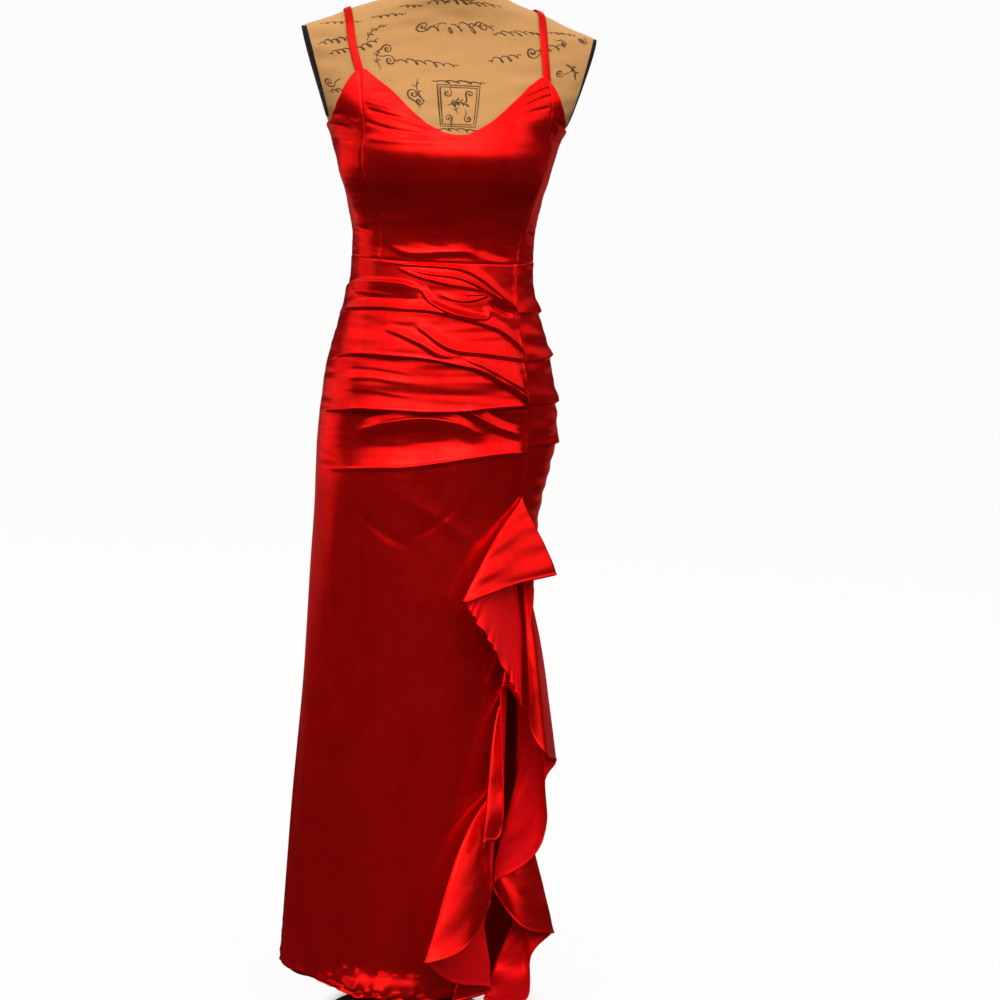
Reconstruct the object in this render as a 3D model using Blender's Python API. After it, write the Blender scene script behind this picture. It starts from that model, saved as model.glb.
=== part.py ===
"""Slip dress on a limbless dress form, for Blender 4.5.

Every piece that a maker would cut is its own closed solid: five bodice pieces, two straps, three skirt
panels and two slit flounces, then the form that carries them. Metres, +Z up. The dress faces -Y, and its
slit is on the wearer's left, at +X. A place on the cloth is given by its turn in degrees about the pole,
0 at the front centre and +90 at +X, and by its height above the floor.
"""
import bpy
import numpy as np

for thing in list(bpy.data.objects):
    bpy.data.objects.remove(thing, do_unlink=True)

# ---- driving sizes, in metres --------------------------------------------------------------------------
CLOTH = 0.0015          # wall of the satin with its turned edges
GAP = 0.0003            # between two pieces that meet
FORM_EASE = 0.005       # from the cloth's outer face to the form
WAIST = 1.0933          # height of the waist seam
HEM = 0.095             # height of the skirt's lower edge
BACK_SWEEP = 0.0915     # how much lower the back's hem hangs in its middle
STRAP_BASE = 1.342      # where the straps leave the front
BACK_TOP = 1.252        # upper edge of the bodice back
SIDE_TOP = 1.262        # underarm point
SLIT_TOP = 0.782        # where the slit opens
STRAP_WIDTH = 0.010
SIDE_SEAM = 97.0        # turn of both side seams, a little behind the side so that the folds show to the edge
NECK_TOP = 1.530
FORM_FOOT = 0.765       # underside of the torso
ARM_PLATE = 0.003
ARM_PLANE_LOW = (0.158, 1.262)   # (x, height) of two points on the cut where an arm would start
ARM_PLANE_HIGH = (0.195, 1.395)
POLE_RADIUS = 0.0125
BASE_RADIUS = 0.125
BASE_EDGE = 0.012
COLLAR_RADIUS = 0.024
COLLAR_TOP = 0.045
CAP_RISE = 0.012

# ---- tables --------------------------------------------------------------------------------------------
# Level sections of the cloth's outer face: half width at -X and +X, depth to the front and to the back, and
# the power that bends the section, 1 for an ellipse, more for a lens with narrow sides, less for a fuller
# one.
SECTION_COLUMNS = ("height", "left", "right", "front", "back", "bend")
SECTIONS = np.array([
    (0.060, 0.189, 0.159, 0.160, 0.161, 1.60),
    (0.300, 0.178, 0.153, 0.150, 0.152, 1.45),
    (0.500, 0.168, 0.150, 0.138, 0.143, 1.25),
    (0.660, 0.163, 0.150, 0.127, 0.136, 1.10),
    (0.760, 0.160, 0.153, 0.119, 0.133, 1.00),
    (0.800, 0.160, 0.161, 0.115, 0.132, 0.97),
    (0.850, 0.159, 0.170, 0.112, 0.131, 0.95),
    (0.900, 0.155, 0.168, 0.112, 0.128, 0.92),
    (0.950, 0.149, 0.159, 0.1125, 0.120, 0.90),
    (0.990, 0.139, 0.149, 0.111, 0.108, 0.90),
    (1.030, 0.129, 0.136, 0.1075, 0.096, 0.90),
    (1.060, 0.122, 0.129, 0.103, 0.090, 0.90),
    (1.092, 0.121, 0.127, 0.0975, 0.087, 0.90),
    (1.125, 0.121, 0.127, 0.0945, 0.087, 0.90),
    (1.150, 0.126, 0.130, 0.100, 0.090, 0.90),
    (1.180, 0.133, 0.136, 0.111, 0.095, 0.90),
    (1.210, 0.142, 0.144, 0.124, 0.100, 0.90),
    (1.235, 0.150, 0.150, 0.131, 0.103, 0.90),
    (1.262, 0.159, 0.159, 0.127, 0.105, 0.90),
    (1.300, 0.188, 0.188, 0.110, 0.106, 0.88),
    (1.345, 0.212, 0.212, 0.083, 0.098, 0.86),
    (1.380, 0.216, 0.216, 0.065, 0.082, 0.85),
    (1.395, 0.205, 0.205, 0.059, 0.073, 0.85),
    (1.410, 0.165, 0.165, 0.055, 0.063, 0.85),
    (1.425, 0.130, 0.130, 0.054, 0.058, 0.86),
    (1.440, 0.088, 0.088, 0.055, 0.057, 0.92),
    (1.455, 0.070, 0.070, 0.057, 0.058, 1.00),
    (1.475, 0.063, 0.063, 0.058, 0.059, 1.00),
    (1.560, 0.061, 0.061, 0.058, 0.059, 1.00),
])
# Bust: turn and height of each cup's point, and how far the cup stands out.
CUPS = ((-31.0, 1.238), (31.0, 1.238))
CUP_RISE, CUP_TURN, CUP_HEIGHT = 0.006, 17.0, 0.045

# Princess seams: height, then the turn of the seam at -X and of the one at +X.
PRINCESS = np.array([
    (1.080, -46.0, 50.0),
    (1.105, -46.0, 51.0),
    (1.150, -47.0, 56.5),
    (1.200, -49.5, 57.5),
    (1.235, -49.5, 56.5),
    (1.265, -45.8, 53.0),
    (1.300, -39.5, 45.0),
    (1.345, -34.6, 36.2),
])
# Upper edge of the front from side to side: turn, height. The neck lies between the two straps.
NECK = np.array([
    (-34.8, 1.3420), (-32.9, 1.3416), (-24.7, 1.3182), (-17.3, 1.2898), (-12.4, 1.2750),
    (-5.0, 1.2640), (0.5, 1.2612), (6.0, 1.2622), (11.0, 1.2690), (16.7, 1.2800),
    (23.3, 1.3030), (29.6, 1.3290), (34.0, 1.3416), (36.4, 1.3420),
])
ARMHOLE = np.array([  # turn away from the front, height
    (34.8, 1.3420), (37.2, 1.3400), (42.0, 1.3280), (49.5, 1.3075), (58.4, 1.2890), (70.0, 1.2740),
    (SIDE_SEAM, SIDE_TOP),
])
# Seam between the ruched front panel and the side panel, then the front panel's own slit edge below it.
SLIT_FRONT = np.array([
    (0.060, 31.0), (0.200, 34.0), (0.350, 39.0), (0.500, 43.5), (0.650, 46.5), (0.782, 47.6),
    (0.840, 46.0), (0.905, 45.3), (0.970, 45.6), (1.037, 47.6), (1.093, 49.8),
])
SLIT_SIDE = np.array([  # the side panel's edge below the slit's top
    (0.060, 61.0), (0.250, 60.0), (0.400, 59.0), (0.500, 57.5), (0.630, 54.5), (0.720, 51.0), (0.782, 47.6),
])
# Ruching of the front panel. Each row is one fold: the turns between which it runs, the height of its ridge
# at four even steps between them, how far it stands out, and how far it hangs over its own foot.
RUCHE_COLUMNS = ("from_turn", "to_turn", "height_0", "height_1", "height_2", "height_3", "rise", "hang")
RUCHES = np.array([
    (-42.0, 45.0, 1.0860, 1.0860, 1.0760, 1.0326, 0.0045, 0.003),
    (-30.0, 30.0, 1.0800, 1.0690, 1.0620, 1.0500, 0.0040, 0.002),
    (-112.0, -15.0, 1.0450, 1.0540, 1.0620, 1.0570, 0.0045, 0.002),
    (-120.0, 44.0, 1.0100, 1.0250, 1.0305, 0.9760, 0.0085, 0.005),
    (-16.0, 45.0, 1.0100, 0.9810, 0.9750, 0.9670, 0.0050, 0.003),
    (-104.0, 44.0, 0.9570, 0.9640, 0.9665, 0.9066, 0.0085, 0.005),
    (-62.0, -3.0, 0.9330, 0.9350, 0.9345, 0.9330, 0.0030, 0.002),
    (-102.0, 46.0, 0.8800, 0.8890, 0.8980, 0.9050, 0.0070, 0.005),
    (0.0, 40.0, 0.8980, 0.8900, 0.8780, 0.8670, 0.0035, 0.002),
    (-45.0, 45.0, 0.8120, 0.8210, 0.8340, 0.8400, 0.0055, 0.004),
])
RUCHE_ABOVE, RUCHE_BELOW = 0.013, 0.006   # reach of a fold above and below its ridge
TUCKS = ((1.029, 1.026), (0.965, 0.972), (0.9065, 0.908), (0.850, 0.857))  # height at the seam, at the side
TUCK_RISE = 0.0055
# Soft flutes of the free skirt: turn, half width in turn, depth at the hem, height at which it dies away.
FLUTES = (
    (-70.0, 9.0, 0.004, 0.70), (-48.0, 10.0, -0.003, 0.62), (-22.0, 11.0, 0.003, 0.55),
    (120.0, 12.0, 0.006, 0.72), (146.0, 11.0, -0.005, 0.66), (172.0, 12.0, 0.007, 0.74),
    (198.0, 11.0, -0.005, 0.66), (224.0, 12.0, 0.006, 0.72), (248.0, 10.0, -0.004, 0.60),
)
# Flounces: one row for each fold line from the slit's top to the hem, as the height at which it leaves the
# seam, the x and the height of its free end, and how far it sweeps to +X between the two.
FLOUNCE_COLUMNS = ("seam", "x", "z", "sweep")
FLOUNCE_FRONT = np.array([
    (0.7800, 0.165, 0.676, 0.000), (0.7740, 0.100, 0.668, 0.000), (0.7620, 0.040, 0.652, -0.002),
    (0.7350, 0.038, 0.645, -0.002), (0.6900, 0.080, 0.580, 0.006), (0.6200, 0.122, 0.500, 0.010),
    (0.5600, 0.118, 0.400, 0.004), (0.5250, 0.100, 0.330, 0.000), (0.5050, 0.074, 0.322, -0.006),
    (0.4750, 0.072, 0.310, -0.004), (0.4500, 0.082, 0.272, 0.000), (0.4300, 0.098, 0.236, 0.004),
    (0.4000, 0.096, 0.208, 0.002), (0.3800, 0.050, 0.180, -0.004), (0.3650, 0.006, 0.172, -0.009),
    (0.3350, 0.004, 0.165, -0.009), (0.2950, 0.040, 0.128, 0.000), (0.2650, 0.080, 0.112, 0.002),
    (0.2250, 0.078, 0.102, 0.000), (0.2000, 0.038, 0.094, -0.003), (0.1700, 0.036, 0.088, -0.003),
    (0.1200, 0.050, 0.082, 0.000),
])
FLOUNCE_SIDE = np.array([
    (0.7500, 0.138, 0.655, 0.000), (0.7300, 0.136, 0.560, 0.000), (0.7100, 0.136, 0.475, 0.000),
    (0.6850, 0.160, 0.436, 0.000), (0.6600, 0.182, 0.410, 0.003), (0.6000, 0.182, 0.390, 0.003),
    (0.5300, 0.166, 0.340, 0.004), (0.4500, 0.150, 0.272, 0.002), (0.4000, 0.104, 0.242, -0.004),
    (0.3700, 0.102, 0.228, -0.004), (0.3500, 0.138, 0.186, 0.000), (0.3250, 0.182, 0.168, 0.003),
    (0.2700, 0.184, 0.158, 0.003), (0.2400, 0.156, 0.128, 0.000), (0.1850, 0.108, 0.074, 0.000),
    (0.1600, 0.108, 0.071, 0.000), (0.1200, 0.148, 0.070, 0.000),
])
FLOUNCE_CLOTH = 0.001   # a single layer with a narrow rolled edge
# How far a flounce stands off the skirt once it has fallen FLOUNCE_FALL below its place on the seam, how
# closely it follows the skirt's curve to the left and to the right of the seam, and how far its seam lies
# off the skirt.
FLOUNCE_FALL, FLOUNCE_SPREAD = 0.117, 0.6
FLOUNCE_DROP = 1.5      # over 1, a fold line leaves the seam outwards before it falls
FRONT_STAND, FRONT_FOLLOW, FRONT_LIFT = 0.055, (1.0, 0.4), 0.0021
SIDE_STAND, SIDE_FOLLOW, SIDE_LIFT = 0.044, (0.0, 0.4), 0.0013
FOLLOW_BLEND = 0.015


# ---- the form of the cloth -----------------------------------------------------------------------------
def smooth(at, knots, values):
    """A curve through the values at the knots, with no corner at a knot."""
    slopes = np.gradient(values, knots)
    at = np.clip(at, knots[0], knots[-1])
    i = np.clip(np.searchsorted(knots, at) - 1, 0, len(knots) - 2)
    span = knots[i + 1] - knots[i]
    t = (at - knots[i]) / span
    ends = values[i] * (2 * t**3 - 3 * t**2 + 1) + values[i + 1] * (3 * t**2 - 2 * t**3)
    return ends + span * (slopes[i] * (t**3 - 2 * t**2 + t) + slopes[i + 1] * (t**3 - t**2))


def fade(x):
    """0 below 0, 1 above 1, and a soft step between."""
    x = np.clip(x, 0, 1)
    return x * x * (3 - 2 * x)


def table(rows, column, at):
    return smooth(at, rows[:, 0], rows[:, column])


def section(height):
    """The level section's left, right, front, back and bend at a height."""
    return [table(SECTIONS, SECTION_COLUMNS.index(name), height) for name in SECTION_COLUMNS[1:]]


def wrapped(turn):
    """The same turn, from -180 to 180."""
    return (turn + 180) % 360 - 180


def skin(turn, height, ease=0.0):
    """The cloth's outer face with no folds, moved in by ease."""
    left, right, front, back, bend = section(height)
    side, ahead = np.sin(np.radians(turn)), np.cos(np.radians(turn))
    wide = np.where(side < 0, left, right) - ease
    deep = np.where(ahead > 0, front, back) - ease
    for cup_turn, cup_height in CUPS:
        off = ((wrapped(turn) - cup_turn) / CUP_TURN) ** 2 + ((height - cup_height) / CUP_HEIGHT) ** 2
        deep = deep + CUP_RISE * np.exp(-off)
    depth = deep * np.sign(ahead) * np.abs(ahead) ** bend
    return np.stack([wide * side, -depth, height + 0 * side], axis=-1)


def normals(shape, turn, height):
    """Unit normals of a surface given as shape(turn, height)."""
    d_turn, d_height = 0.2, 0.0005
    across = shape(turn + d_turn, height) - shape(turn - d_turn, height)
    upward = shape(turn, height + d_height) - shape(turn, height - d_height)
    facing = np.cross(across, upward)
    return facing / np.linalg.norm(facing, axis=-1, keepdims=True)


def bell(x):
    return np.exp(-x * x)


def slit_front(height):
    return table(SLIT_FRONT, 1, height)


def slit_side(height):
    return np.where(height > SLIT_TOP, slit_front(height), table(SLIT_SIDE, 1, height))


def ruching(turn, height):
    """(rise, hang) of the front panel's folds, which die away at its seams."""
    rise, hang = 0 * height, 0 * height
    steps = np.linspace(0, 1, 4)
    for row in RUCHES:
        fold_row = dict(zip(RUCHE_COLUMNS, row))
        start, end = fold_row["from_turn"], fold_row["to_turn"]
        t = (turn - start) / (end - start)
        ridge = smooth(t, steps, row[RUCHE_COLUMNS.index("height_0"):][:4])
        reach = np.where(height > ridge, RUCHE_ABOVE, RUCHE_BELOW)
        fold = bell((height - ridge) / reach) * fade((turn - start) / 22) * fade((end + 4 - turn) / 10)
        rise = rise + fold_row["rise"] * fold
        hang = hang + fold_row["hang"] * fold
    edge = fade((slit_front(height) - turn) / 6) * fade((turn + SIDE_SEAM) / 9)
    edge = edge * fade((WAIST - height) / 0.012)
    return rise * edge, hang * edge


def tucking(turn, height):
    """Rise of the side panel's tucks, which die away at its seams."""
    start = slit_side(height)
    t = (turn - start) / (SIDE_SEAM - start)
    rise = 0 * height
    for at_seam, at_side in TUCKS:
        ridge = at_seam + (at_side - at_seam) * t
        rise = rise + TUCK_RISE * bell((height - ridge) / np.where(height > ridge, 0.012, 0.006))
    return rise * fade(t / 0.15) * fade((1 - t) / 0.12) * fade((WAIST - height) / 0.012)


def fluting(turn, height):
    """Rise of the free skirt's soft flutes."""
    rise = 0 * height
    for centre, reach, depth, top in FLUTES:
        off = wrapped(turn - centre) / reach
        rise = rise + depth * bell(off) * fade((top - height) / (top - HEM))
    return rise


def skirt_front(turn, height):
    rise, hang = ruching(turn, height)
    rise = rise + fluting(turn, height) * fade((turn + SIDE_SEAM) / 12)
    point = skin(turn, height) + normals(skin, turn, height) * rise[..., None]
    point[..., 2] -= hang
    return point


def skirt_back(turn, height):
    rise = fluting(turn, height) * fade((turn - SIDE_SEAM) / 12) * fade((360 - SIDE_SEAM - turn) / 12)
    return skin(turn, height) + normals(skin, turn, height) * rise[..., None]


def skirt_side(turn, height):
    return skin(turn, height) + normals(skin, turn, height) * tucking(turn, height)[..., None]


# ---- making solids -------------------------------------------------------------------------------------
def material(name, colour, roughness, metallic=0.0):
    made = bpy.data.materials.new(name)
    made.use_nodes = True
    shader = made.node_tree.nodes["Principled BSDF"]
    shader.inputs["Base Color"].default_value = (*colour, 1.0)
    shader.inputs["Roughness"].default_value = roughness
    shader.inputs["Metallic"].default_value = metallic
    made.diffuse_color = (*colour, 1.0)
    return made


def solid(name, points, faces, colour, roughness, metallic=0.0):
    mesh = bpy.data.meshes.new(name)
    mesh.from_pydata(points.reshape(-1, 3).tolist(), [], faces)
    mesh.polygons.foreach_set("use_smooth", [True] * len(mesh.polygons))
    mesh.materials.append(material(name, colour, roughness, metallic))
    made = bpy.data.objects.new(name, mesh)
    bpy.context.scene.collection.objects.link(made)
    return made


def quads(rows, columns, start=0, flip=False):
    """Faces of a grid of points stored row after row, split along the same diagonal either way round."""
    at = start + np.arange(rows * columns).reshape(rows, columns)
    ring = np.stack([at[:-1, :-1], at[:-1, 1:], at[1:, 1:], at[1:, :-1]], axis=-1).reshape(-1, 4)
    return (ring[:, [0, 3, 2, 1]] if flip else ring).tolist()


def wall(name, outer, inner, colour=(0.50, 0.010, 0.012), roughness=0.35):
    """A closed wall between two grids whose columns run to the right of someone who faces the outer one."""
    rows, columns = outer.shape[:2]
    size = rows * columns
    faces = quads(rows, columns) + quads(rows, columns, size, flip=True)
    at = np.arange(size).reshape(rows, columns)
    rim = np.concatenate([at[0, :-1], at[:-1, -1], at[-1, :0:-1], at[:0:-1, 0]])
    after = np.roll(rim, -1)
    faces += np.stack([after, rim, rim + size, after + size], axis=-1).tolist()
    return solid(name, np.concatenate([outer.reshape(-1, 3), inner.reshape(-1, 3)]), faces, colour, roughness)


def panel(name, shape, left, right, low, high, columns, levels):
    """A cloth panel between the turns left(height) and right(height) and the heights low(fraction) and
    high(fraction). Its side edges stand half a gap back from their seams."""
    across, up = np.meshgrid(columns, levels)
    height = low(across) + (high(across) - low(across)) * up
    start, end = left(height), right(height)
    turn = start + (end - start) * across
    per_turn = np.linalg.norm(skin(turn + 0.5, height) - skin(turn - 0.5, height), axis=-1)
    turn = turn + GAP / 2 / per_turn * (1 - 2 * across)
    outer = shape(turn, height)
    return wall(name, outer, outer - CLOTH * normals(shape, turn, height))


def at(value):
    return lambda x: value + 0 * x


# ---- bodice --------------------------------------------------------------------------------------------
def princess(side):
    return lambda height: table(PRINCESS, 1 if side < 0 else 2, height)


def neck_edge(across):
    """Height of the front's upper edge at a fraction of the way from seam to seam."""
    seams = princess(-1)(NECK[:, 1]), princess(1)(NECK[:, 1])
    fractions = (NECK[:, 0] - seams[0]) / (seams[1] - seams[0])
    fractions[0], fractions[-1] = 0.0, 1.0
    return np.interp(across, fractions, NECK[:, 1])


def armhole_edge(side):
    def edge(across):
        seam = np.abs(princess(side)(ARMHOLE[:, 1]))
        fractions = np.clip((ARMHOLE[:, 0] - seam) / (SIDE_SEAM - seam), 0, 1)
        fractions[0] = 0.0
        outward = 1 - across if side < 0 else across
        return np.interp(outward, fractions, ARMHOLE[:, 1])
    return edge


BODICE_LEVELS = np.linspace(0, 1, 13)


def even(count, crowding=1.0):
    """Fractions from 0 to 1, crowded towards 0 when crowding is over 1."""
    return np.linspace(0, 1, count) ** crowding


BODICE_FOOT = WAIST + GAP / 2
panel("bodice_centre_front", skin, princess(-1), princess(1), at(BODICE_FOOT), neck_edge, even(15),
      BODICE_LEVELS)
panel("bodice_side_front_r", skin, at(-SIDE_SEAM), princess(-1), at(BODICE_FOOT), armhole_edge(-1),
      1 - even(9, 1.4)[::-1], BODICE_LEVELS)
panel("bodice_side_front_l", skin, princess(1), at(SIDE_SEAM), at(BODICE_FOOT), armhole_edge(1),
      even(9, 1.4), BODICE_LEVELS)
panel("bodice_back", skin, at(SIDE_SEAM), at(360 - SIDE_SEAM), at(BODICE_FOOT),
      lambda across: BACK_TOP + (SIDE_TOP - BACK_TOP) * np.abs(2 * across - 1) ** 2, even(14), BODICE_LEVELS)


# ---- straps --------------------------------------------------------------------------------------------
def form_reach(x, lean, ease):
    """Where a line from the form's middle, leaning back by lean degrees, leaves its skin."""
    middle = np.stack([x, 0 * x, 1.30 + 0 * x], axis=-1)
    way = np.stack([0 * x, -np.cos(np.radians(lean)), np.sin(np.radians(lean))], axis=-1)
    near, far = 0 * x, 0 * x + 0.2
    for _ in range(40):
        reach = (near + far) / 2
        point = middle + way * reach[..., None]
        left, _, front, back, bend = section(point[..., 2])
        wide, deep = left - ease, np.where(point[..., 1] < 0, front, back) - ease
        inside = (np.abs(point[..., 0]) / wide) ** 2 + (np.abs(point[..., 1]) / deep) ** (2 / bend) < 1
        near, far = np.where(inside, reach, near), np.where(inside, far, reach)
    return middle + way * near[..., None]


# One row for each strap: x at the front, over the shoulder and at the back.
STRAPS = {"strap_r": (-0.1190, -0.1370, -0.0950), "strap_l": (0.1268, 0.1200, 0.0950)}
STRAP_STEPS = 23
STRAP_LIFT = 0.0020     # over the shoulder, between the form and the strap's underside


def strap_lean(x, target_height, front):
    """The lean at which the strap's line passes a height, by halving."""
    low, high = (-30.0, 90.0) if front else (90.0, 210.0)
    for _ in range(40):
        lean = (low + high) / 2
        height = form_reach(np.array([x]), np.array([lean]), 0.0)[0, 2]
        if (height < target_height) == front:
            low = lean
        else:
            high = lean
    return lean


for name, (x_front, x_top, x_back) in STRAPS.items():
    first = strap_lean(x_front, STRAP_BASE + 0.0012, True)
    last = strap_lean(x_back, BACK_TOP + 0.0035, False)
    lean = np.linspace(first, last, STRAP_STEPS)
    centre = smooth(lean, np.array([first, 75.0, last]), np.array([x_front, x_top, x_back]))
    width = np.linspace(-0.5, 0.5, 3) * STRAP_WIDTH
    x = centre[:, None] + width
    leans = np.broadcast_to(lean[:, None], x.shape)
    along = np.minimum(lean - first, last - lean) / 12
    lift = STRAP_LIFT + (FORM_EASE - CLOTH - STRAP_LIFT) * (1 - fade(along))
    foot = form_reach(x, leans, FORM_EASE)
    step_x, step_lean = 0.001, 0.3
    along_x = form_reach(x + step_x, leans, FORM_EASE) - form_reach(x - step_x, leans, FORM_EASE)
    along_lean = form_reach(x, leans + step_lean, FORM_EASE) - form_reach(x, leans - step_lean, FORM_EASE)
    facing = np.cross(along_x, along_lean)
    facing = facing / np.linalg.norm(facing, axis=-1, keepdims=True)
    inner = foot + facing * lift[:, None, None]
    wall(name, inner + facing * CLOTH, inner)

# ---- skirt ---------------------------------------------------------------------------------------------
SKIRT_TOP = WAIST - GAP / 2
HIP_LEVELS = np.linspace(0.790, SKIRT_TOP, 37)
FREE_LEVELS = np.linspace(HEM, 0.790, 10)[:-1]


def levels(*heights):
    return (np.concatenate(heights) - HEM) / (SKIRT_TOP - HEM)


FRONT_LEVELS = levels(FREE_LEVELS, HIP_LEVELS)
BACK_LEVELS = levels(FREE_LEVELS, HIP_LEVELS[::3])


def back_hem(across):
    """The back is cut a little longer than the front, and its hem curves down to a short sweep."""
    return HEM - BACK_SWEEP * np.sin(np.pi * across)


panel("skirt_front", skirt_front, at(-SIDE_SEAM), slit_front, at(HEM), at(SKIRT_TOP), even(16), FRONT_LEVELS)
panel("skirt_side", skirt_side, slit_side, at(SIDE_SEAM), at(HEM), at(SKIRT_TOP), even(5), FRONT_LEVELS)
panel("skirt_back", skirt_back, at(SIDE_SEAM), at(360 - SIDE_SEAM), back_hem, at(SKIRT_TOP), even(16),
      BACK_LEVELS)


# ---- flounces ------------------------------------------------------------------------------------------
def flounce(rows, slit, side, stand, follow, lift):
    """A surface of (fold row, fraction from seam to free edge). At one level it lies further off the skirt
    the further it has fallen, so its layers never cross."""
    index = np.arange(len(rows), dtype=float)
    left_share, right_share = follow

    def surface(row, out):
        seam_height, x, z, sweep = (smooth(row, index, rows[:, k]) for k in range(len(FLOUNCE_COLUMNS)))
        seam = skin(slit(seam_height), seam_height)
        height = seam_height + (z - seam_height) * out**FLOUNCE_DROP
        across = seam[..., 0] + (x - seam[..., 0]) * out + 6.75 * out * (1 - out) ** 2 * sweep
        here = skin(slit(height), height)
        off = across - here[..., 0]
        rounded = np.sqrt(off**2 + FOLLOW_BLEND**2) - FOLLOW_BLEND
        followed = here[..., 0] + (left_share + right_share) / 2 * off
        followed = followed + (right_share - left_share) / 2 * rounded
        _, wide, deep, _, bend = section(height)
        depth = deep * (1 - np.clip(followed / wide, -1, 1) ** 2) ** (bend / 2)
        away = stand * ((seam_height - height) / FLOUNCE_FALL) ** FLOUNCE_SPREAD
        turn = slit(height) + side * 0.35
        point = np.stack([across, -depth - away, height], axis=-1)
        return point + skin(turn, height) - here + normals(skin, turn, height) * lift
    return surface


def flounce_solid(name, surface, folds, steps, across):
    row, out = np.meshgrid(np.linspace(0, folds - 1, steps * (folds - 1) + 1), np.linspace(1, 0, across))
    outer = surface(row, out)
    facing = np.cross(np.gradient(outer, axis=1), np.gradient(outer, axis=0))
    facing = facing / np.linalg.norm(facing, axis=-1, keepdims=True)
    return wall(name, outer, outer - FLOUNCE_CLOTH * facing)


flounce_solid("flounce_front", flounce(FLOUNCE_FRONT, slit_front, 1, FRONT_STAND, FRONT_FOLLOW, FRONT_LIFT),
              len(FLOUNCE_FRONT), 2, 6)
flounce_solid("flounce_side", flounce(FLOUNCE_SIDE, slit_side, -1, SIDE_STAND, SIDE_FOLLOW, SIDE_LIFT),
              len(FLOUNCE_SIDE), 2, 5)

# ---- dress form ----------------------------------------------------------------------------------------
TORSO_TURNS = 40


def form_ring(height, ease=FORM_EASE):
    turn = np.linspace(0, 360, TORSO_TURNS, endpoint=False)
    return skin(turn, np.full(TORSO_TURNS, height), ease)


def stacked(name, rings, colour, roughness):
    """A closed solid through rings of points, each ring closed by one flat end."""
    count, around = len(rings), len(rings[0])
    points = np.concatenate(rings)
    at_ring = np.arange(count * around).reshape(count, around)
    low, high = at_ring[:-1], at_ring[1:]
    sides = np.stack([low, np.roll(low, -1, 1), np.roll(high, -1, 1), high], axis=-1).reshape(-1, 4).tolist()
    ends = [at_ring[0, ::-1].tolist(), at_ring[-1].tolist()]
    return solid(name, points, sides + ends, colour, roughness)


def torso(name):
    foot = []
    for step in np.linspace(0, 90, 6)[:-1]:
        inset, drop = 0.045 * (1 - np.sin(np.radians(step))), 0.035 * (1 - np.cos(np.radians(90 - step)))
        foot.append(form_ring(FORM_FOOT + 0.035 - drop, FORM_EASE + inset))
    heights = np.concatenate([np.linspace(FORM_FOOT + 0.035, 1.06, 11), np.linspace(1.09, 1.37, 14),
                              np.linspace(1.38, 1.46, 17), [1.475, 1.50, NECK_TOP]])
    return stacked(name, foot + [form_ring(h) for h in heights], (0.62, 0.45, 0.28), 0.8)


def arm_slab(name, side, start, depth):
    """A block outside the slanting plane where an arm would start, from start to start + depth off it."""
    low, high = np.array(ARM_PLANE_LOW), np.array(ARM_PLANE_HIGH)
    rise = (high - low) / np.linalg.norm(high - low)
    out = np.array([rise[1], -rise[0]])
    half, reach = 0.16, 0.16
    middle = (low + high) / 2
    corners = []
    for away in (start, start + depth):
        for along in (-half, half):
            x, z = middle + out * away + rise * along
            corners += [(side * x, -reach, z), (side * x, reach, z)]
    faces = [(0, 1, 3, 2), (4, 6, 7, 5), (0, 4, 5, 1), (2, 3, 7, 6), (0, 2, 6, 4), (1, 5, 7, 3)]
    if side > 0:
        faces = [face[::-1] for face in faces]
    made = solid(name, np.array(corners), faces, (0.5, 0.5, 0.5), 0.5)
    made.hide_render = True
    made.display_type = "WIRE"
    return made


def boolean(target, operation, other):
    cut = target.modifiers.new(other.name, "BOOLEAN")
    cut.operation = operation
    cut.object = other
    cut.solver = "EXACT"


form = torso("form_torso")
for side, hand in ((-1, "r"), (1, "l")):
    boolean(form, "DIFFERENCE", arm_slab("arm_cut_" + hand, side, 0.0, 0.10))
    plate = torso("arm_plate_" + hand)
    plate.data.materials.clear()
    plate.data.materials.append(material("arm_plate_" + hand, (0.012, 0.012, 0.013), 0.5))
    boolean(plate, "INTERSECT", arm_slab("arm_slab_" + hand, side, GAP, ARM_PLATE))


def turned(name, profile, colour, roughness, metallic, around=40):
    """A closed solid of revolution about the pole, through (radius, height) points from the axis and back."""
    turn = np.radians(np.linspace(0, 360, around, endpoint=False))
    inner = profile[1:-1]
    points = [(0, 0, profile[0][1])]
    points += [(r * np.cos(a), r * np.sin(a), z) for r, z in inner for a in turn]
    points += [(0, 0, profile[-1][1])]
    faces = []
    for k in range(around):
        after = (k + 1) % around
        faces.append((0, 1 + after, 1 + k))
        for ring in range(len(inner) - 1):
            low, high = 1 + ring * around, 1 + (ring + 1) * around
            faces.append((low + k, low + after, high + after, high + k))
        last = 1 + (len(inner) - 1) * around
        faces.append((len(points) - 1, last + k, last + after))
    return solid(name, np.array(points), faces, colour, roughness, metallic)


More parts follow.
